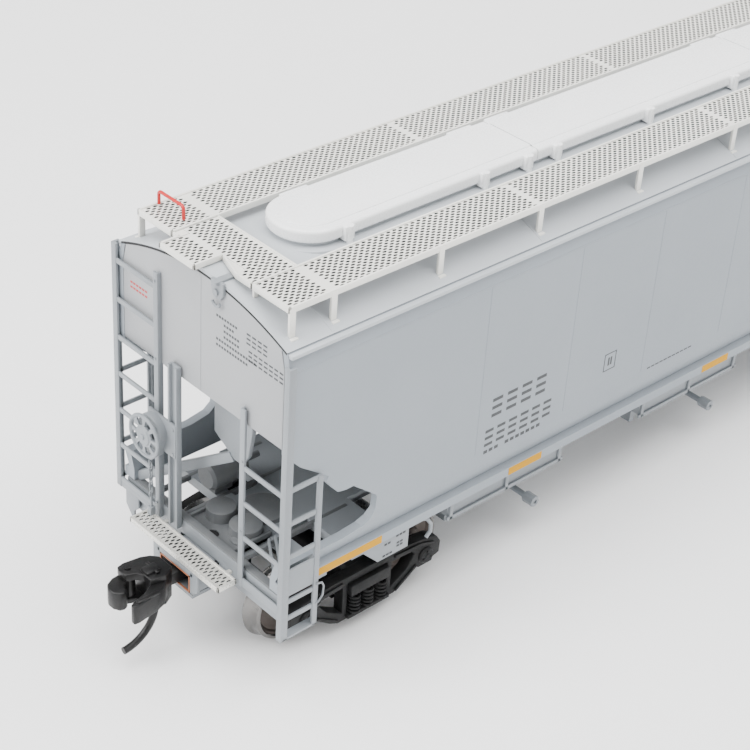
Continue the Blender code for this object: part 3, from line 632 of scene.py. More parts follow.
def build_markings():
    """Plain bars where a real car has its lettering. They spell nothing."""
    skin = SIDE_Y + 0.005
    left = ink_block(-65.2, 11.0, 27.2, 2.9, 2.75, 0.9, -skin)
    left += ink_block(-66.0, 13.2, 22.8, 2.6, 2.2, 0.7, -skin)
    for start, width in ((-66.0, 3.0), (-62.0, 6.4)):
        left += ink_row(start, width, 20.7 + 0.95, 0.5, 1.0, 0.3, -skin)
    frame_low, frame_high = (-43.2, -40.8)
    for z in (25.3, 28.0):
        left.append(box((frame_low, frame_high), about(-skin, INK_HALF), (z, z + 0.14)))
    for x in (frame_low, frame_high - 0.14):
        left.append(box((x, x + 0.14), about(-skin, INK_HALF), (25.3, 28.1)))
    left += ink_row(-42.4, 0.9, 26.1, 1.3, 0.5, 0.2, -skin)
    left += ink_row(-33.2, 9.8, CURVE_Z + 0.2, 0.2, 0.9, 0.2, -skin)
    show("side_markings", with_twin(left), "marking_ink")

    def end_row(start, width, z, height, step, gap):
        bars = []
        y = start
        while y > start - width + 0.01:
            bars.append(box((-END_X - 0.015, -END_X + 0.01), (y - step + gap, y), (z, z + height)))
            y -= step
        return bars

    rows = []
    for level in (0.0, 0.62, 1.24):
        rows += end_row(-8.6, 4.0, 48.2 + level, 0.24, 1.0, 0.3)
        rows += end_row(-9.0, 5.6, 46.0 + level, 0.24, 0.93, 0.28)
    lines = [(-3.0, 4.0, 49.2), (-4.4, 1.6, 48.4), (-4.4, 2.8, 47.6), (-4.4, 2.6, 46.8)]
    lines += [(-3.0, 7.4, 46.0), (-3.0, 5.8, 45.2)]
    for start, width, z in lines:
        rows += end_row(start, width, z, 0.32, 0.5, 0.16)
    show("end_markings", with_twin(rows), "marking_ink")
    warning = [bar for z in (45.6, 44.9) for bar in end_row(14.0, 3.2, z, 0.28, 0.6, 0.15)]
    show("warning_marks", with_twin(warning), "marking_red")
    plate = []
    lines = [(14.6, -80.4, 1.8), (14.1, -82.4, 1.2), (13.4, -80.2, 1.2)]
    lines += [(12.9, -80.2, 1.2), (12.3, -82.6, 1.6)]
    for z, start, width in lines:
        plate += ink_row(start, width, z, 0.3, 0.6, 0.15, -15.82)
    show("plate_marks", with_twin(plate), "marking_ink")


# Roof, hatches and walkways


def roof_z(y):
    return FOOT_Z + ROOF_RISE * (1 - (y / EAVE_Y) ** 2)


def build_roof():
    across = [-1 + i / 20 for i in range(41)]
    inner_y = EAVE_Y - ROOF_WALL
    outer = [(EAVE_Y * t, FOOT_Z + ROOF_RISE * (1 - t * t)) for t in across]
    inner = [(inner_y * t, FOOT_Z + (ROOF_RISE - ROOF_WALL) * (1 - t * t)) for t in across[::-1]]
    sheet = prism(outer + inner, "X", (-END_X, END_X))
    seams = []
    for x in (19.4, 58.2, 93.0):
        for side in (-1, 1):
            arch = [(EAVE_Y * t * 0.985, roof_z(EAVE_Y * t * 0.985) + 0.05) for t in across]
            under = [(y, z - 0.4) for y, z in arch[::-1]]
            seams.append(prism(arch + under, "X", (side * x - 0.2, side * x + 0.2)))
    coaming = prism(stadium(HATCH_END - 0.7, HATCH_Y - 0.7), "Z", (roof_z(0) - 0.9, COAMING_TOP))
    ledge = prism(stadium(HATCH_END + 0.7, HATCH_Y + 0.9), "Z", (roof_z(0) - 1.2, roof_z(0) - 0.15))
    ledge_x = (-END_X + 0.1, END_X - 0.1)
    eaves = both_sides([soft_box(
        ledge_x, (EAVE_Y - 0.5, SIDE_Y + 0.15), (FOOT_Z - 0.75, FOOT_Z - 0.22), 0.14
    )])
    show("eave_ledges", eaves, "roof_paint_lit")
    # Black strips in the groove under the roof's edge and in the gap over each end sheet: painted shade.
    groove = both_sides([box(ledge_x, (EAVE_Y - 0.7, EAVE_Y - 0.06), (FOOT_Z - 0.3, FOOT_Z + 0.02))])
    gap_out = [
        (EAVE_Y * t * 0.995, FOOT_Z - 0.02 + (ROOF_RISE - ROOF_WALL * 0.75) * (1 - t * t)) for t in across
    ]
    gap_in = [(y, z - 0.3) for y, z in gap_out[::-1]]
    groove += both_ends([prism(gap_out + gap_in, "X", (END_X - 0.3, END_X + 0.025))])
    show("roof_gap_shade", groove, "painted_shade_black")
    show(
        "roof_sheet", [sheet, coaming, rounded(ledge, 0.15)] + seams, "roof_paint_lit",
        stands_for=("roof",),
    )


def build_hatches():
    """White trough covers with a crowned, soft-edged top, latch lugs on one side and hinges on the other."""
    joints = HATCH_JOINTS + [HATCH_END]
    latches = ((-82, -59, -51), (-45.5, -27, -8.5), (8.5, 27, 45.5), (51, 59, 82))
    hinges = ((-81.5, -53), (-46, -3), (3, 46), (53, 81.5))
    rim = COAMING_TOP - 0.3
    lid = prism(stadium(HATCH_END, HATCH_Y, 32), "Z", (rim, HATCH_TOP - 0.15))
    lid = rounded(lid, 0.45, 5)
    crown = prism(stadium(HATCH_END - 1.3, HATCH_Y - 1.3, 32), "Z", (HATCH_TOP - 0.3, HATCH_TOP))
    crown = rounded(crown, 0.14, 3)
    for i in range(4):
        low = joints[i] if i else joints[i] - 1
        high = joints[i + 1] - 0.2 if i < 3 else joints[i + 1] + 1
        outside = [box((-120, low), (-9, 9), (50, 60)), box((high, 120), (-9, 9), (50, 60))]
        shapes = [cut(lid, outside), cut(crown, outside)]
        for x in latches[i]:
            shapes.append(soft_box(
                about(x, 0.75), (-HATCH_Y - 0.55, -HATCH_Y + 0.5), (rim - 0.3, HATCH_TOP - 0.25), 0.15
            ))
            shapes.append(tube(
                [(x, -HATCH_Y - 0.45, rim - 0.8), (x, -HATCH_Y - 0.45, HATCH_TOP - 0.2)], 0.42, 20
            ))
        for x in hinges[i]:
            shapes.append(soft_box(
                about(x, 2.2), (HATCH_Y - 0.4, HATCH_Y + 0.5), (HATCH_TOP - 1.0, HATCH_TOP - 0.35), 0.15
            ))
            pin = [(x + reach, HATCH_Y + 0.35, HATCH_TOP - 0.75) for reach in (-1.8, 1.8)]
            shapes.append(tube(pin, 0.3, 16))
        show(f"hatch_lid_{i + 1}", shapes, "hatch_white", stands_for=(f"hatch_cover_{i + 1}",))


def build_running_board(name, side):
    """One long etched board with raised edges, joint bands and flat posts down to the eave."""
    edge = 0.3
    top = BOARD_TOP - 0.2
    plain = [(s * x - 0.5, s * x + 0.5) for x in BOARD_JOINTS for s in (-1, 1)]
    plain += [(s * x - 0.75, s * x - 0.55) for x in BOARD_JOINTS for s in (-1, 1)]
    x_span = (-BOARD_X + edge, BOARD_X - edge)
    y_span = (BOARD_IN + edge, BOARD_OUT - edge)
    sheet = perforated(x_span, y_span, top, 1.0, 0.46, (0.70, 0.40), plain)
    shapes = [thickened(sheet, BOARD_THICK)]
    lip_z = (BOARD_TOP - 0.85, BOARD_TOP)
    shapes.append(soft_box((-BOARD_X, BOARD_X), (BOARD_IN, BOARD_IN + edge), lip_z, 0.06))
    shapes.append(soft_box((-BOARD_X, BOARD_X), (BOARD_OUT - edge, BOARD_OUT), lip_z, 0.06))
    for end in (-1, 1):
        shapes.append(soft_box((end * (BOARD_X - edge), end * BOARD_X), (BOARD_IN, BOARD_OUT), lip_z, 0.06))
    for x in sorted({s * p for p in BOARD_POSTS for s in (-1, 1)}):
        foot = roof_z(BOARD_OUT) - 0.25
        shapes.append(soft_box(about(x, 0.45), (BOARD_OUT - 0.35, BOARD_OUT + 0.05), (foot, BOARD_TOP - 0.2)))
        shapes.append(soft_box(
            about(x, 0.55), (BOARD_OUT - 0.5, BOARD_OUT + 0.55), (foot - 0.15, foot + 0.2)
        ))
        inner = roof_z(BOARD_IN + 0.5)
        shapes.append(soft_box(
            about(x, 0.35), (BOARD_IN + 0.1, BOARD_IN + 0.45), (inner - 0.1, BOARD_TOP - 0.3), 0.06
        ))
        shapes.append(soft_box(
            about(x, 0.25), (BOARD_IN + 0.2, BOARD_OUT - 0.2), (BOARD_TOP - 0.8, BOARD_TOP - 0.45), 0.05
        ))
    show(
        f"walk_{name}", [mirrored(shape, 1, side) for shape in shapes], "walk_etch",
        stands_for=(f"running_board_{name}",),
    )


def build_crossover(name, end):
    """The etched walk across the end, level with the boards, with a landing that reaches out."""
    edge = 0.3
    hole = (0.70, 0.40)
    reach = BOARD_IN - 0.1
    top = BOARD_TOP - 0.22
    skew = -4.6
    out = -BOARD_X
    panels = [
        perforated((-97.0, -91.9), (skew, reach), top, 1.0, 0.46, hole),
        perforated((out + edge, -91.9), (-reach, skew), top, 1.0, 0.46, hole),
        perforated((-101.0, -97.0), (0.0, 6.0), top, 1.0, 0.46, hole, [(-97.6, -97.0)]),
    ]
    shapes = [thickened(panel, 0.36) for panel in panels]
    shapes.append(prism([(-97.02, -0.3), (-97.02, skew), (out + edge, skew)], "Z", (top - 0.34, top - 0.01)))
    shapes.append(box((out + 0.1, -97.02), (6.1, reach), (top - 0.34, top - 0.01)))
    low = top - 0.6
    high = top + 0.16
    corner = [
        (out, -reach), (out, skew), (-97.15, -0.35), (-101.3, -0.35), (-101.3, 6.35), (out, 6.35),
        (out, reach),
    ]
    for start, stop in zip(corner, corner[1:]):
        a, b = Vector(start), Vector(stop)
        across = (b - a).normalized().orthogonal() * edge
        strip = [a, b, b - across, a - across]
        shapes.append(soft_prism([tuple(point) for point in strip], "Z", (low, high), 0.06))
    shapes.append(soft_box((-91.9, -91.6), (-reach, reach), (low, high), 0.06))
    show(
        f"end_walk_{name}", half_turn(shapes, end), "walk_etch",
        stands_for=(f"crossover_{name}",),
    )
    plate = [(-4.7, 54.3), (-2.4, 54.3), (-2.4, 53.2), (-3.0, 51.9), (-4.1, 51.9), (-4.7, 52.8)]
    bracket = [
        soft_prism(plate, "X", (-100.45, -100.0), 0.1),
        tube(arc((-100.5, -3.5, 51.7), 0.75, 200, 340, 10, "YZ"), 0.2, 10),
        tube([(-100.7, -3.5, 52.8), (-100.0, -3.5, 52.8)], 0.42, 20),
        soft_box((-100.9, -98.0), (-4.0, -3.0), (53.9, 54.4), 0.1),
    ]
    show(f"lift_lug_{name}", half_turn(bracket, end), "detail_paint")


def build_roof_grab(name, end):
    """A bent red wire handhold with round corners."""
    low, high = corners(f"roof_grab_{name}")
    x = (low[0] + high[0]) / 2
    wire_r = 0.22
    bend = 0.45
    top = high[2] - wire_r
    y_in, y_out = (8.8, 13.7)
    route = [(x, y_in, low[2])]
    route += arc((x, y_in + bend, top - bend), bend, 180, 90, 6, "YZ")
    route += arc((x, y_out - bend, top - bend), bend, 90, 0, 6, "YZ")
    route.append((x, y_out, low[2]))
    route = [(a, -end * b, c) for a, b, c in route]
    show(
        f"grab_wire_{name}", [tube(route, wire_r, 12)], "red_wire",
        stands_for=(f"roof_grab_{name}",),
    )


# Ladders


def flat_rung(start, end):
    """A moulded rung: a flat bar with a soft edge, between two points in a plane of constant z."""
    (x0, y0), (x1, y1), z = start[:2], end[:2], start[2]
    half = 0.36
    deep = 0.15
    x_span = (min(x0, x1) - deep, max(x0, x1) + deep)
    y_span = (min(y0, y1) - deep, max(y0, y1) + deep)
    return soft_box(x_span, y_span, (z - half, z + half), 0.09)


def angle_bar(corner, legs, z, thick=0.3):
    """An upright angle section from its outside corner, with one leg along X and one along Y."""
    (x, y), (dx, dy) = corner, legs
    tx = math.copysign(thick, dx)
    ty = math.copysign(thick, dy)
    outline = [(x, y), (x + dx, y), (x + dx, y + ty), (x + tx, y + ty), (x + tx, y + dy), (x, y + dy)]
    return rounded(prism(outline, "Z", z), 0.07)


def build_ladder(name, end, tall):
    """A corner ladder, drawn for -X: the tall one at +Y, the short one at -Y."""
    side = 1 if tall else -1
    out = LADDER_X + 0.2
    face = LADDER_Y + 0.2
    if tall:
        end_in, end_span, side_span, corner = 8.1, (13.05, 50.0), (13.05, 50.0), (13.05, 50.2)
        end_rungs = side_rungs = [47.85 - 5.58 * i for i in range(7)]
    else:
        end_in, end_span, side_span, corner = 8.9, (12.5, 39.4), (8.65, 32.0), (8.65, 49.1)
        end_rungs = (30.95, 25.65, 20.35)
        side_rungs = (26.75, 21.65)
    shapes = [
        angle_bar((-out, end_in - 0.45), (0.85, 0.9), end_span, 0.32),
        angle_bar((-out, face), (1.1, -0.95), corner, 0.4),
        angle_bar((-94.75, face), (-0.8, -0.6), side_span, 0.36),
    ]
    for z in end_rungs:
        shapes.append(flat_rung((-LADDER_X, end_in, z), (-LADDER_X, 16.2, z)))
    for z in side_rungs:
        shapes.append(flat_rung((-99.8, LADDER_Y - 0.05, z), (-95.1, LADDER_Y - 0.05, z)))
    for z in [low + 0.9 for low in end_rungs[::2]]:
        rivet = [(CORE, 0.0), (0.2, 0.0), (0.16, 0.14), (CORE, 0.16)]
        shapes.append(turned(rivet, "X", (-out - 0.12, end_in + 0.1, z), 10, ring=False))
    if tall:
        shapes.append(soft_box((-out + 0.06, -LADDER_X + 0.16), (end_in, 16.7), (13.1, 14.2)))
        foot = [
            (15.2, 13.3), (15.2, 11.0), (13.9, 9.4), (13.4, 9.4), (13.4, 10.6), (12.4, 11.6), (12.4, 13.3)
        ]
        shapes.append(soft_prism(foot, "X", (-100.6, -100.25), 0.08))
    else:
        shapes.append(soft_box((-out + 0.06, -LADDER_X + 0.12), (end_in - 0.3, 16.7), (12.6, 14.0)))
        shapes.append(soft_box((-99.6, -95.0), (face - 0.35, face - 0.1), (SILL_Z + 0.4, 19.7)))
        for z in (31.75, 14.65, 11.95):
            shapes.append(flat_rung((-99.8, LADDER_Y - 0.05, z), (-95.1, LADDER_Y - 0.05, z)))
        shapes.append(soft_box((-100.4, -94.75), (LADDER_Y - 1.0, face), (8.65, 9.05), 0.1))
        wire = [
            (-95.1, face, 15.3), (-95.1, face + 0.15, 15.5), (-94.3, face + 0.15, 15.3),
            (-94.0, face + 0.15, 14.6),
        ]
        wire += [(-94.1, face + 0.15, 13.2), (-94.7, face + 0.1, 12.4), (-95.1, face, 12.2)]
        shapes.append(tube(wire, 0.13, 10))
    placed = [mirrored(shape, -end, -end * side) for shape in shapes]
    word = "left" if tall else "right"
    show(f"corner_ladder_{name}_{word}", placed, stands_for=(f"ladder_{name}_{word}",))


# Hand brake and the brake end's platform


def build_hand_brake():
    wheel_x = corners("brake_wheel")[0][0]
    rim = []
    for i in range(10):
        angle = 2 * math.pi * i / 10
        rim.append((2.86 + 0.26 * math.cos(angle), wheel_x + 0.32 + 0.26 * math.sin(angle)))
    centre = (0, BRAKE_Y, BRAKE_Z)
    shapes = [turned(rim, "X", centre, 64)]
    dish = [(0.4, 0.05), (1.15, 0.05), (1.3, 0.2), (2.75, 0.25), (2.75, 0.5), (1.2, 0.5), (0.4, 0.68)]
    dish = [(r, wheel_x + x) for r, x in dish]
    plate = turned(dish, "X", centre, 64)
    slots = []
    for i in range(8):
        turn = Matrix.Rotation(math.pi * (i + 0.5) / 4, 4, "X")
        slot = [(1.5, -0.42), (2.35, -0.62), (2.55, -0.3), (2.55, 0.3), (2.35, 0.62), (1.5, 0.42)]
        slot = prism(slot, "X", about(wheel_x, 1))
        slot.transform(Matrix.Translation(centre) @ turn)
        slots.append(slot)
    shapes.append(cut(plate, slots))
    shapes.append(knob([(0.3, wheel_x - 0.12), (0.42, wheel_x + 0.1)], "X", centre, 24))
    show(
        "hand_wheel", shapes, "detail_paint", "hand_brake_wheel", ("brake_wheel",),
        origin=(-102.9, BRAKE_Y, BRAKE_Z),
    )

    case = arc((0, BRAKE_Y, BRAKE_Z + 0.5), 2.3, -30, 210, 16, "YZ")
    outline = [(y, z) for _, y, z in case] + [(BRAKE_Y - 1.4, 24.3), (BRAKE_Y + 1.4, 24.3)]
    shapes = [
        soft_prism(outline, "X", (-102.3, -100.9), 0.25, 3),
        soft_box((-101.15, -100.7), (3.6, 9.3), (25.0, 30.0), 0.12),
    ]
    post = [(-100.15, 3.5), (-100.15, 5.3), (-101.0, 5.3), (-101.0, 4.95)]
    post += [(-100.5, 4.95), (-100.5, 3.85), (-101.0, 3.85), (-101.0, 3.5)]
    shapes.append(soft_prism(post, "Z", (13.9, 38.6), 0.07))
    shapes.append(tube([(-102.2, BRAKE_Y, BRAKE_Z), (-103.3, BRAKE_Y, BRAKE_Z)], 0.28, 16))
    for y, z in ((4.0, 29.4), (4.0, 25.6), (8.9, 25.5)):
        bolt = [(CORE, -0.2), (0.22, -0.16), (0.26, 0.1), (CORE, 0.1)]
        shapes.append(turned(bolt, "X", (-101.15, y, z), 12, ring=False))
    show("brake_post", shapes, stands_for=("brake_housing",))

    links = []
    z = 24.3
    for i in range(11):
        flat = i % 2
        ring = [(0.26 * math.cos(a), 0.48 * math.sin(a)) for a in [math.pi * k / 8 for k in range(16)]]
        if flat:
            route = [(-101.7, 8.0 + a, z - 0.36 + b) for a, b in ring]
        else:
            route = [(-101.7 + a, 8.0, z - 0.36 + b) for a, b in ring]
        links.append(tube(route, 0.1, 8, closed=True))
        z -= 0.66
    links.append(tube([(-101.7, 8.0, z + 0.5), (-101.7, 8.0, 14.3)], 0.18, 12))
    links.append(soft_box((-102.1, -101.3), (7.6, 8.4), (14.0, 15.3), 0.12))
    show("brake_chain", links, stands_for=("brake_rod",))


def build_platform():
    low, high = PLATFORM_LOW, PLATFORM_HIGH
    x0, x1, y0, y1, top = -104.0, -101.0, low[1], high[1], high[2]
    edge = 0.28
    sheet = perforated((x0 + edge, x1 - edge), (y0 + edge, y1 - edge), top - 0.1, 0.98, 0.40, (0.72, 0.36))
    z = (top - 0.75, top)
    shapes = [
        thickened(sheet, 0.22),
        *[soft_box(x, (y0, y1), z, 0.05) for x in ((x0, x0 + edge), (x1 - edge, x1))],
        *[soft_box((x0, x1), y, z, 0.05) for y in ((y0, y0 + edge), (y1 - edge, y1))],
    ]
    for y in (-6.5, 6.5):
        shapes.append(soft_box((-103.5, -100.1), about(y, 0.3), (low[2], low[2] + 0.4), 0.06))
    show("end_platform", shapes, "platform_etch", stands_for=("brake_platform",))


# Underframe and end bays


def build_end_bay(name, end):
    """What stands between the slope sheet and the deck: a gusset, a brace, slats, pads and a pin hole, whose
    inside is a dark disc of painted shade.
    """
    gusset = [(2.8, 27.6), (2.8, 33.0), (-4.7, 33.4), (-4.7, 31.2), (-4.0, 27.2), (-2.8, 25.4), (-1.2, 25.4)]
    shapes = [soft_prism(gusset, "X", (-95.6, -94.9), 0.12)]

    def brace(start, stop):
        start, stop = Vector(start), Vector(stop)
        bar = rounded(box((-0.35, 0.35), (-0.7, 0.7), (0, (stop - start).length)), 0.12)
        turn = (stop - start).to_track_quat("Z", "Y").to_matrix().to_4x4()
        bar.transform(Matrix.Translation(start) @ turn)
        return bar

    shapes.append(brace((-99.4, 15.2, DECK_TOP + 1.2), (-95.4, -0.8, 25.6)))
    for x in (-93.0, -91.9, -90.8):
        slat = [(x, -5.6), (x - 4.4, -12.2), (x - 4.8, -12.2), (x - 0.4, -5.6)]
        shapes.append(soft_prism(slat, "Z", (DECK_TOP, DECK_TOP + 0.7), 0.06))
    show(f"end_braces_{name}", half_turn(shapes, end), "detail_paint")
    hole_x = -97.9
    round_hole = [(hole_x + 0.85 * math.cos(k / 4), 0.85 * math.sin(k / 4)) for k in range(25)]
    plate = [(-99.3, -4.5), (-99.3, 4.5), (-93.0, 4.5), (-93.0, -4.5)]
    plate = prism(plate, "Z", (DECK_TOP, DECK_TOP + 0.25))
    plate = cut(plate, [prism(round_hole, "Z", about(DECK_TOP, 1))])
    pads = [rounded(plate, 0.08)]
    lobes = [(-94.6, 2.4, 2.1, 1.9), (-94.2, -2.2, 2.3, 1.6), (-89.5, 0.0, 3.2, 0.7), (-96.2, -3.2, 1.1, 0.6)]
    for x, y, r, h in lobes:
        lobe = [(r, DECK_TOP), (r - 0.12, DECK_TOP + h - 0.15), (r - 0.45, DECK_TOP + h)]
        pads.append(knob(lobe, "Z", (x, y, 0), 40))
    for y in ((4.3, 4.8), (-4.8, -4.3)):
        pads.append(soft_box((-99.6, -92.0), y, (DECK_TOP - 0.6, DECK_TOP + 0.7), 0.1))
    pads.append(soft_box((-99.9, -98.7), (-15.4, 15.4), (DECK_TOP + 1.0, DECK_TOP + 1.45), 0.12))
    for y in (5.8, -5.8, 12.0, -12.0):
        pads.append(soft_box((-98.8, -80.0), about(y, 0.3), (DECK_TOP - 0.7, DECK_TOP + 0.05), 0.1))
    show(f"deck_details_{name}", half_turn(pads, end), "deck_shade_paint")
    # A thin black disc in the pin hole: painted shade.
    dark = knob([(0.84, DECK_TOP + 0.02), (0.84, DECK_TOP + 0.06)], "Z", (hole_x, 0, 0), 32)
    show(f"pin_hole_shade_{name}", half_turn([dark], end), "painted_shade_black")


def build_underframe():
    refinish("underframe", "detail_paint")
    refinish("steel_weight", "bare_steel")
    for i in range(4):
        refinish(f"outlet_gate_{i + 1}", "detail_paint")
        x = (i - 1.5) * BAY_PITCH
        shaft_low, shaft_high = corners(f"gate_shaft_{i + 1}")
        shaft_x = (shaft_low[0] + shaft_high[0]) / 2
        shapes = [tube([(shaft_x, -13.6, SHAFT_Z), (shaft_x, 13.6, SHAFT_Z)], 0.45, 20)]
        for side in (-1, 1):
            drive = [(0.3, 12.4), (0.85, 12.5), (0.85, 14.3), (0.6, 14.4), (0.3, 14.4)]
            drive = [(r, side * y) for r, y in drive]
            shapes.append(turned(drive, "Y", (shaft_x, 0, SHAFT_Z), 8))
        show(f"capstan_{i + 1}", shapes, stands_for=(f"gate_shaft_{i + 1}",))
        ribs = []
        for side in (-1, 1):
            y = sorted((side * 14.25, side * 14.65))
            ribs.append(soft_box(about(x, 11.3), y, (11.2, 11.8)))
            for dx in (-10.6, 0.0, 10.6):
                ribs.append(soft_box((x + dx - 0.3, x + dx + 0.3), y, (11.2, 15.1)))
        show(f"bay_ribs_{i + 1}", ribs)
    hose = [
        (-75.4, -15.3, 14.9), (-74.6, -15.6, 14.6), (-74.0, -15.7, 13.6), (-74.0, -15.7, 12.4),
        (-74.6, -15.6, 11.6),
    ]
    show("side_conduit", with_twin([tube(hose, 0.28, 12)]))


def build_air_brake():
    tank = [
        (CORE, -8.6), (1.4, -8.5), (2.2, -8.1), (2.5, -7.4), (2.5, 2.4), (2.2, 3.1), (1.4, 3.5), (CORE, 3.6)
    ]
    shapes = [turned(tank, "Y", TANK_AT, 40, ring=False)]
    for y in (-6.0, 1.0):
        band = [(2.45, y - 0.4), (2.7, y - 0.4), (2.7, y + 0.4), (2.45, y + 0.4)]
        shapes.append(turned(band, "Y", TANK_AT, 40))
        shapes.append(soft_box((90.6, 92.2), about(y, 0.5), (13.75, 15.4), 0.1))
    show("brake_tank", shapes, "detail_paint", stands_for=("air_reservoir",))
    shapes = [
        soft_box((87.6, 91.4), (6.2, 9.6), (13.75, 17.6), 0.3),
        knob([(1.2, 9.2), (1.2, 11.3), (1.0, 11.6)], "Y", (89.5, 0, 16.0), 28),
        knob([(1.0, 6.4), (1.0, 5.3)], "Y", (89.5, 0, 16.4), 28),
    ]
    show("brake_valve", shapes, "detail_paint", stands_for=("control_valve",))
    shapes = [
        knob([(1.6, -93.5), (2.0, -93.1), (2.0, -87.9), (1.7, -87.5)], "X", (0, 7.2, 16.6), 32),
        tube([(-88.0, 7.2, 16.6), (-84.6, 7.2, 16.6)], 0.45, 16),
        soft_box((-92.5, -89.5), (6.4, 8.0), (13.75, 15.5), 0.1),
    ]
    show("brake_ram", shapes, "deck_shade_paint", stands_for=("brake_cylinder",))


# Trucks


def side_frame():
    """A cast side frame at +Y, about the truck's centre, with its springs, bearing caps and wedge pocket."""
    half = [(5.0, 2.0), (6.4, 2.7), (8.6, 4.3), (9.2, 4.7), (9.3, 4.1), (11.9, 4.1), (12.1, 4.7), (13.2, 5.0)]
    half += [(13.3, 6.9), (12.7, 7.8), (11.4, 8.5), (9.0, 8.9), (6.5, 9.2)]
    outline = half + [(-x, z) for x, z in half[::-1]]
    frame_solid = prism(outline, "Y", (FRAME_IN, FRAME_OUT))
    windows = []
    for side in (-1, 1):
        window = [(4.3, 7.7), (8.0, 7.5), (8.5, 6.9), (7.0, 5.0), (4.3, 3.4)]
        window = [(side * x, z) for x, z in window]
        windows.append(prism(window, "Y", (FRAME_IN - 1, FRAME_OUT + 1)))
    windows.append(prism(
        [(-3.5, 3.0), (-3.5, 8.0), (3.5, 8.0), (3.5, 3.0)], "Y", (FRAME_OUT - 0.7, FRAME_OUT + 1)
    ))
    shapes = [rounded(cut(frame_solid, windows), 0.16, 2)]
    for side in (-1, 1):
        x = side * WHEELBASE / 2
        cap = [(0.35, 0.62), (0.4, 0.5), (1.0, 0.45), (1.25, 0.2), (1.3, -0.3)]
        cap = [(r, FRAME_OUT + y) for r, y in cap]
        shapes.append(knob(cap, "Y", (x, 0, AXLE_Z), 32))
        for k in range(3):
            angle = math.radians(90 + 120 * k)
            bolt_at = (x + 0.72 * math.cos(angle), 0, AXLE_Z + 0.72 * math.sin(angle))
            shapes.append(knob([(0.17, FRAME_OUT + 0.6), (0.17, FRAME_OUT + 0.3)], "Y", bolt_at, 8))
        rib = [(4.6, 8.3), (9.4, 8.0), (11.8, 7.4), (11.8, 7.7), (9.4, 8.5), (4.6, 8.8)]
        rib = [(side * x, z) for x, z in rib]
        shapes.append(soft_prism(rib, "Y", (FRAME_OUT - 0.1, FRAME_OUT + 0.3), 0.08))
        lower_rib = [(side * 5.2, 2.3), (side * 8.9, 4.8), (side * 8.7, 5.1), (side * 5.0, 2.7)]
        shapes.append(soft_prism(lower_rib, "Y", (FRAME_OUT - 0.1, FRAME_OUT + 0.25), 0.06))
    for x in (-2.3, 0.0, 2.3):
        coil = []
        turns = 5
        for i in range(turns * 14 + 1):
            angle = 2 * math.pi * i / 14
            coil.append((
                x + 0.78 * math.cos(angle), FRAME_OUT - 0.05 + 0.78 * math.sin(angle),
                2.95 + 3.0 * i / (turns * 14),
            ))
        shapes.append(tube(coil, 0.17, 8))
    shapes.append(soft_box((-3.4, 3.4), (FRAME_OUT - 0.9, FRAME_OUT + 0.65), (6.05, 7.9), 0.2))
    shapes.append(soft_box((-3.7, 3.7), (FRAME_OUT - 0.5, FRAME_OUT + 0.55), (2.35, 2.95), 0.12))
    return shapes


def build_truck(name, end):
    x = end * TRUCK_X
    shapes = both_sides(side_frame())
    bolster = [(-2.6, 4.0), (2.6, 4.0), (2.6, 8.3), (2.0, 8.9), (-2.0, 8.9), (-2.6, 8.3)]
    shapes.append(soft_prism(bolster, "Y", (-FRAME_IN - 0.3, FRAME_IN + 0.3), 0.15))
    for side in (-1, 1):
        beam_x = side * 4.0
        shapes.append(tube([(beam_x, -11.0, 4.7), (beam_x, 11.0, 4.7)], 0.35, 12))
        for lateral in (-1, 1):
            shoe = [
                (side * 4.0, 4.0), (side * 4.9, 4.2), (side * 4.75, 5.4), (side * 4.85, 6.6),
                (side * 4.2, 6.8),
            ]
            shapes.append(prism(shoe, "Y", (lateral * 8.3, lateral * 9.6)))
    shapes = [moved(shape, x) for shape in shapes]
    show(
        f"truck_casting_{name}", shapes, "truck_black", f"truck_{name}",
        (f"truck_frame_{name}",),
    )
    refinish(f"truck_screw_{name}", "bare_steel")


def build_wheelset(number):
    low, high = corners(f"axle_{number}")
    x = (low[0] + high[0]) / 2
    centre = (x, 0, AXLE_Z)
    body = f"wheelset_{number}"
    half = [(1.2, 10.3), (1.1, 10.45), (0.8, 10.5), (0.78, 11.5), (0.1, 12.85), (0.03, 12.9)]
    bar = [(r, -y) for r, y in half[::-1]] + half
    show(
        f"axle_bar_{number}", [turned(bar, "Y", centre, 32, ring=False)], "axle_steel", body,
        (f"axle_{number}",), origin=centre,
    )
    tread = [
        (4.62, 7.35), (4.75, 7.2), (5.5, 7.2), (5.72, 7.28), (FLANGE_R - 0.06, 7.42), (FLANGE_R, 7.55),
        (FLANGE_R - 0.08, 7.7),
    ]
    tread += [
        (5.55, 7.92), (5.36, 8.15), (TREAD_R + 0.02, 8.5), (TREAD_R - 0.04, 9.6), (TREAD_R - 0.18, 9.75),
        (4.75, 9.75), (4.62, 9.6),
    ]
    face = [
        (1.23, 7.15), (2.0, 7.15), (2.15, 7.4), (2.3, 7.9), (4.2, 8.0), (4.65, 7.7), (4.65, 9.4),
        (4.45, 9.3), (4.2, 8.95), (3.2, 8.75), (2.4, 8.95), (2.15, 9.7), (2.0, 9.88), (1.23, 9.88),
    ]
    for side, word in ((1, "left"), (-1, "right")):
        rim = turned([(r, side * y) for r, y in tread], "Y", centre, 72)
        web = turned([(r, side * y) for r, y in face], "Y", centre, 72)
        node = f"wheel_{number}_{word}"
        show(f"tyre_{number}_{word}", [rim], "wheel_tread", body, (node,), origin=centre)
        show(f"wheel_web_{number}_{word}", [web], "wheel_face", body, origin=centre)


# Couplers


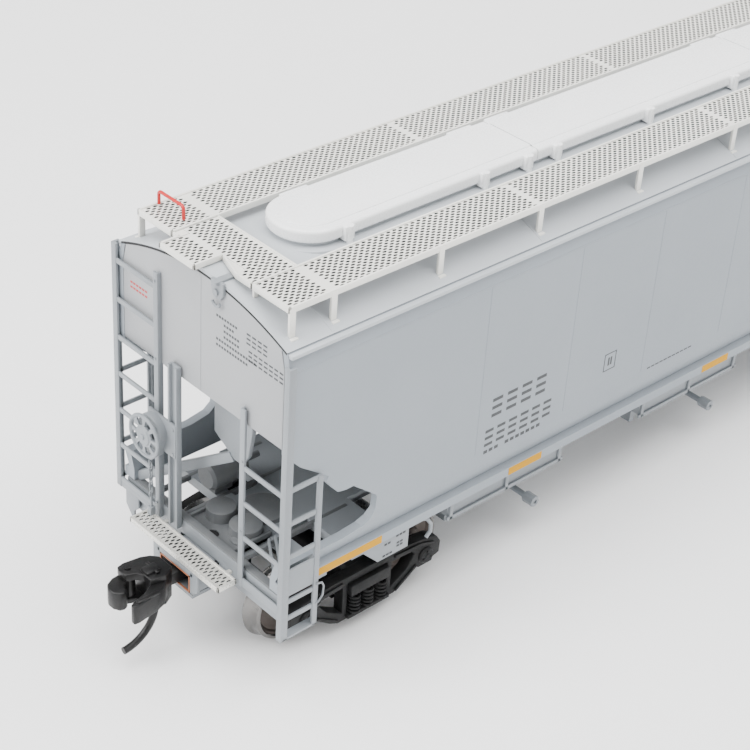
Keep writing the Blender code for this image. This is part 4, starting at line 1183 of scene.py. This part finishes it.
def build_coupler(name, end):
    """Drawn for +X in plan, then mirrored to its end, like the CAD's coupler."""
    z = COUPLER_Z

    def flip(shapes):
        return [mirrored(shape, end, -end) for shape in shapes]

    box_low, box_high = corners(f"coupler_box_{name}")
    x0, x1 = sorted((abs(box_low[0]), abs(box_high[0])))
    half = box_high[1]
    top = box_high[2]
    shapes = [soft_box((x0, x1), (-half, half), (top - 0.7, top), 0.12)]
    for side in (-1, 1):
        shapes.append(soft_box((x0, x1), sorted((side * half, side * (half - 0.6))), (z - 1.3, top), 0.12))
    shapes.append(soft_box((x0, x0 + 0.6), (-half, half), (z - 1.3, top), 0.12))
    shapes.append(tube([(97.0, 0, z - 1.2), (97.0, 0, top - 0.5)], 0.9, 20))
    face = [(half + 0.9, top + 0.2), (half + 0.9, z - 0.4), (half, z - 1.3)]
    face += [(half - 0.6, z - 1.3), (half - 0.6, top - 0.7)]
    face = [(-half - 0.9, top + 0.2)] + face + [(-y, level) for y, level in face[:0:-1]]
    shapes.append(soft_prism(face, "X", (x1 - 0.6, x1 - 0.02), 0.1))
    show(f"draft_box_{name}", flip(shapes), stands_for=(f"coupler_box_{name}",))
    mouth = []
    inner = half - 0.62
    skin = (x1 - 0.2, x1 + 0.03)
    for y in (-inner, inner - 0.18):
        mouth.append(box(skin, (y, y + 0.18), (z - 1.3, top - 0.7)))
    mouth += [box(skin, (-inner, inner), level) for level in ((top - 0.86, top - 0.7), (z - 1.34, z - 1.2))]
    show(f"mouth_edge_{name}", flip(mouth), "striker_rust")
    refinish(f"coupler_lid_{name}", "detail_paint")
    refinish(f"coupler_spring_{name}", "bronze_leaf")

    back = x1 + 1.4
    pin_x, pin_y = 110.0, 1.9
    outline = [
        (back, -1.3), (back, 1.3), (back + 0.8, 2.2), (back + 2.0, 2.75), (pin_x - 0.2, 3.1),
        (pin_x + 0.8, 2.9),
    ]
    outline += [
        (pin_x + 1.1, 2.2), (pin_x + 1.0, 0.9), (pin_x - 0.2, 0.4), (pin_x - 0.9, -0.5), (pin_x - 0.9, -1.9),
        (back + 1.6, -2.2),
    ]
    head = prism(outline, "Z", (z - 2.2, z + 2.6))
    guard = [
        (back + 0.8, -1.6), (back + 2.6, -3.2), (pin_x - 0.4, -3.7), (pin_x + 2.4, -4.1), (pin_x + 3.2, -4.0)
    ]
    guard += [
        (pin_x + 3.2, -3.3), (pin_x + 2.6, -3.0), (pin_x + 0.6, -2.5), (pin_x - 1.2, -1.5), (back + 1.2, -1.0)
    ]
    guard = soft_prism(guard, "Z", (z - 1.1, z + 1.8), 0.2, 3)
    slot = box((pin_x - 1.5, pin_x + 4), (-0.75, 5), about(z, 1.5))
    head = rounded(cut(head, [slot]), 0.22, 3)
    shapes = [
        head,
        guard,
        soft_box((98.0, back + 1), (-0.98, 0.98), about(z, 0.88), 0.15),
        turned(
            [
                (0.98, z - 0.95), (1.7, z - 0.95), (1.75, z - 0.8), (1.75, z + 0.8), (1.7, z + 0.95),
                (0.98, z + 0.95),
            ],
            "Z", (97.0, 0, 0), 32,
        ),
        tube([(pin_x, pin_y, z - 2.7), (pin_x, pin_y, z + 2.85)], 0.45, 20),
        soft_box((back + 1.4, back + 3.6), (-1.0, 0.6), (z + 2.3, z + 3.0), 0.25),
        tube([(back + 2.2, -1.4, z + 2.7), (back + 2.2, 1.0, z + 2.7)], 0.3, 16),
        soft_box((pin_x - 1.0, pin_x + 2.4), (-3.8, -3.2), (z + 1.7, z + 2.05), 0.12),
    ]
    drop = [(pin_x - 2.0, -1.2, z - 1.5)] + arc((pin_x + 3.2, -1.2, z - 2.2), 5.2, 180, 268, 18)
    shapes.append(tube(drop, 0.5, 16))
    shapes.append(tube([(pin_x - 2.0, -1.2, z - 1.6), (pin_x - 2.0, -1.2, z - 2.9)], 0.62, 16))
    show(
        f"coupler_head_{name}", flip(shapes), "coupler_black", f"coupler_swing_{name}",
        (f"coupler_{name}",),
    )

    jaw = [
        (-0.75, 0.65), (-0.5, -0.85), (0.7, -0.95), (1.35, -1.3), (1.6, -2.3), (2.2, -2.6), (2.9, -2.4),
        (3.35, -1.6), (3.4, -0.6), (2.9, 0.3), (1.8, 0.85), (0.5, 1.0),
    ]
    jaw = soft_prism([(pin_x + x, pin_y + y) for x, y in jaw], "Z", about(z, 1.4), 0.25, 3)
    hub = turned(
        [(0.53, z - 1.4), (1.0, z - 1.4), (1.0, z + 1.4), (0.53, z + 1.4)], "Z", (pin_x, pin_y, 0), 28
    )
    jaw = cut(jaw, [tube([(pin_x, pin_y, z - 3), (pin_x, pin_y, z + 3)], 0.6, 20)])
    show(
        f"coupler_jaw_{name}", flip([jaw, hub]), "coupler_black", f"knuckle_jaw_{name}",
        (f"knuckle_{name}",),
    )


# Stage, light and camera


def build_stage():
    """A pale round floor that curves up all the way round, like a bowl."""
    radius, bend, height = (1200, 500, 1500)
    profile = [(0.1, 0.0)]
    for step in range(13):
        angle = math.radians(step * 7.5)
        profile.append((radius + bend * math.sin(angle), bend - bend * math.cos(angle)))
    profile.append((radius + bend, height))
    sides = 96
    mesh = bpy.data.meshes.new("floor")
    points = []
    faces = []
    for step in range(sides):
        angle = 2 * math.pi * step / sides
        points += [(r * math.cos(angle) * MM, r * math.sin(angle) * MM, z * MM) for r, z in profile]
    rows = len(profile)
    for step in range(sides):
        ahead = (step + 1) % sides
        for i in range(rows - 1):
            faces.append((step * rows + i, ahead * rows + i, ahead * rows + i + 1, step * rows + i + 1))
    faces.append([step * rows for step in range(sides)])
    mesh.from_pydata(points, [], faces)
    mesh.shade_smooth()
    floor = bpy.data.objects.new("studio_floor", mesh)
    bpy.context.scene.collection.objects.link(floor)
    paper = surface("studio_paper", (0.93, 0.93, 0.93), 0.8, tint=0.005, grain=0.01)
    mesh.materials.append(paper)


def add_light(name, place, aim, size, power):
    data = bpy.data.lights.new(name, "AREA")
    data.shape = "RECTANGLE"
    data.size, data.size_y = size
    data.energy = power
    lamp = bpy.data.objects.new(name, data)
    lamp.location = place
    lamp.rotation_euler = (Vector(aim) - Vector(place)).to_track_quat("-Z", "Y").to_euler()
    bpy.context.scene.collection.objects.link(lamp)


def build_lights():
    world = bpy.data.worlds.new("studio")
    bpy.context.scene.world = world
    world.use_nodes = True
    sky = world.node_tree.nodes["Background"]
    sky.inputs["Color"].default_value = (1, 1, 1, 1)
    sky.inputs["Strength"].default_value = 0.75
    add_light("top_softbox", (-0.05, -0.10, 0.75), (0, 0, 0), (0.9, 0.7), 13.0)
    add_light("key_softbox", (-0.75, 0.25, 0.55), (-0.03, 0, 0.02), (0.5, 0.4), 10.0)
    add_light("fill_softbox", (0.25, -0.8, 0.35), (0, 0, 0.02), (0.6, 0.4), 1.5)


def build_camera():
    """A close view down on the brake end, a little rolled."""
    data = bpy.data.cameras.new("camera")
    data.sensor_width = 36.0
    data.lens = LENS
    data.clip_start = 0.01
    data.clip_end = 20.0
    camera = bpy.data.objects.new("camera", data)
    place = Vector(CAMERA_AT) * MM
    turn = Vector(CAMERA_AHEAD).to_track_quat("-Z", "Y") @ Matrix.Rotation(ROLL, 4, "Z").to_quaternion()
    camera.matrix_world = Matrix.Translation(place) @ turn.to_matrix().to_4x4()
    bpy.context.scene.collection.objects.link(camera)
    bpy.context.scene.camera = camera


build_body()
build_reflectors()
build_markings()
build_roof()
build_hatches()
build_running_board("left", 1)
build_running_board("right", -1)
build_hand_brake()
build_platform()
build_underframe()
build_air_brake()
for end_word, end_side in ENDS.items():
    build_crossover(end_word, end_side)
    build_roof_grab(end_word, end_side)
    build_ladder(end_word, end_side, tall=True)
    build_ladder(end_word, end_side, tall=False)
    build_end_bay(end_word, end_side)
    build_truck(end_word, end_side)
    build_coupler(end_word, end_side)
for wheelset in (1, 2, 3, 4):
    build_wheelset(wheelset)
build_stage()
build_lights()
build_camera()
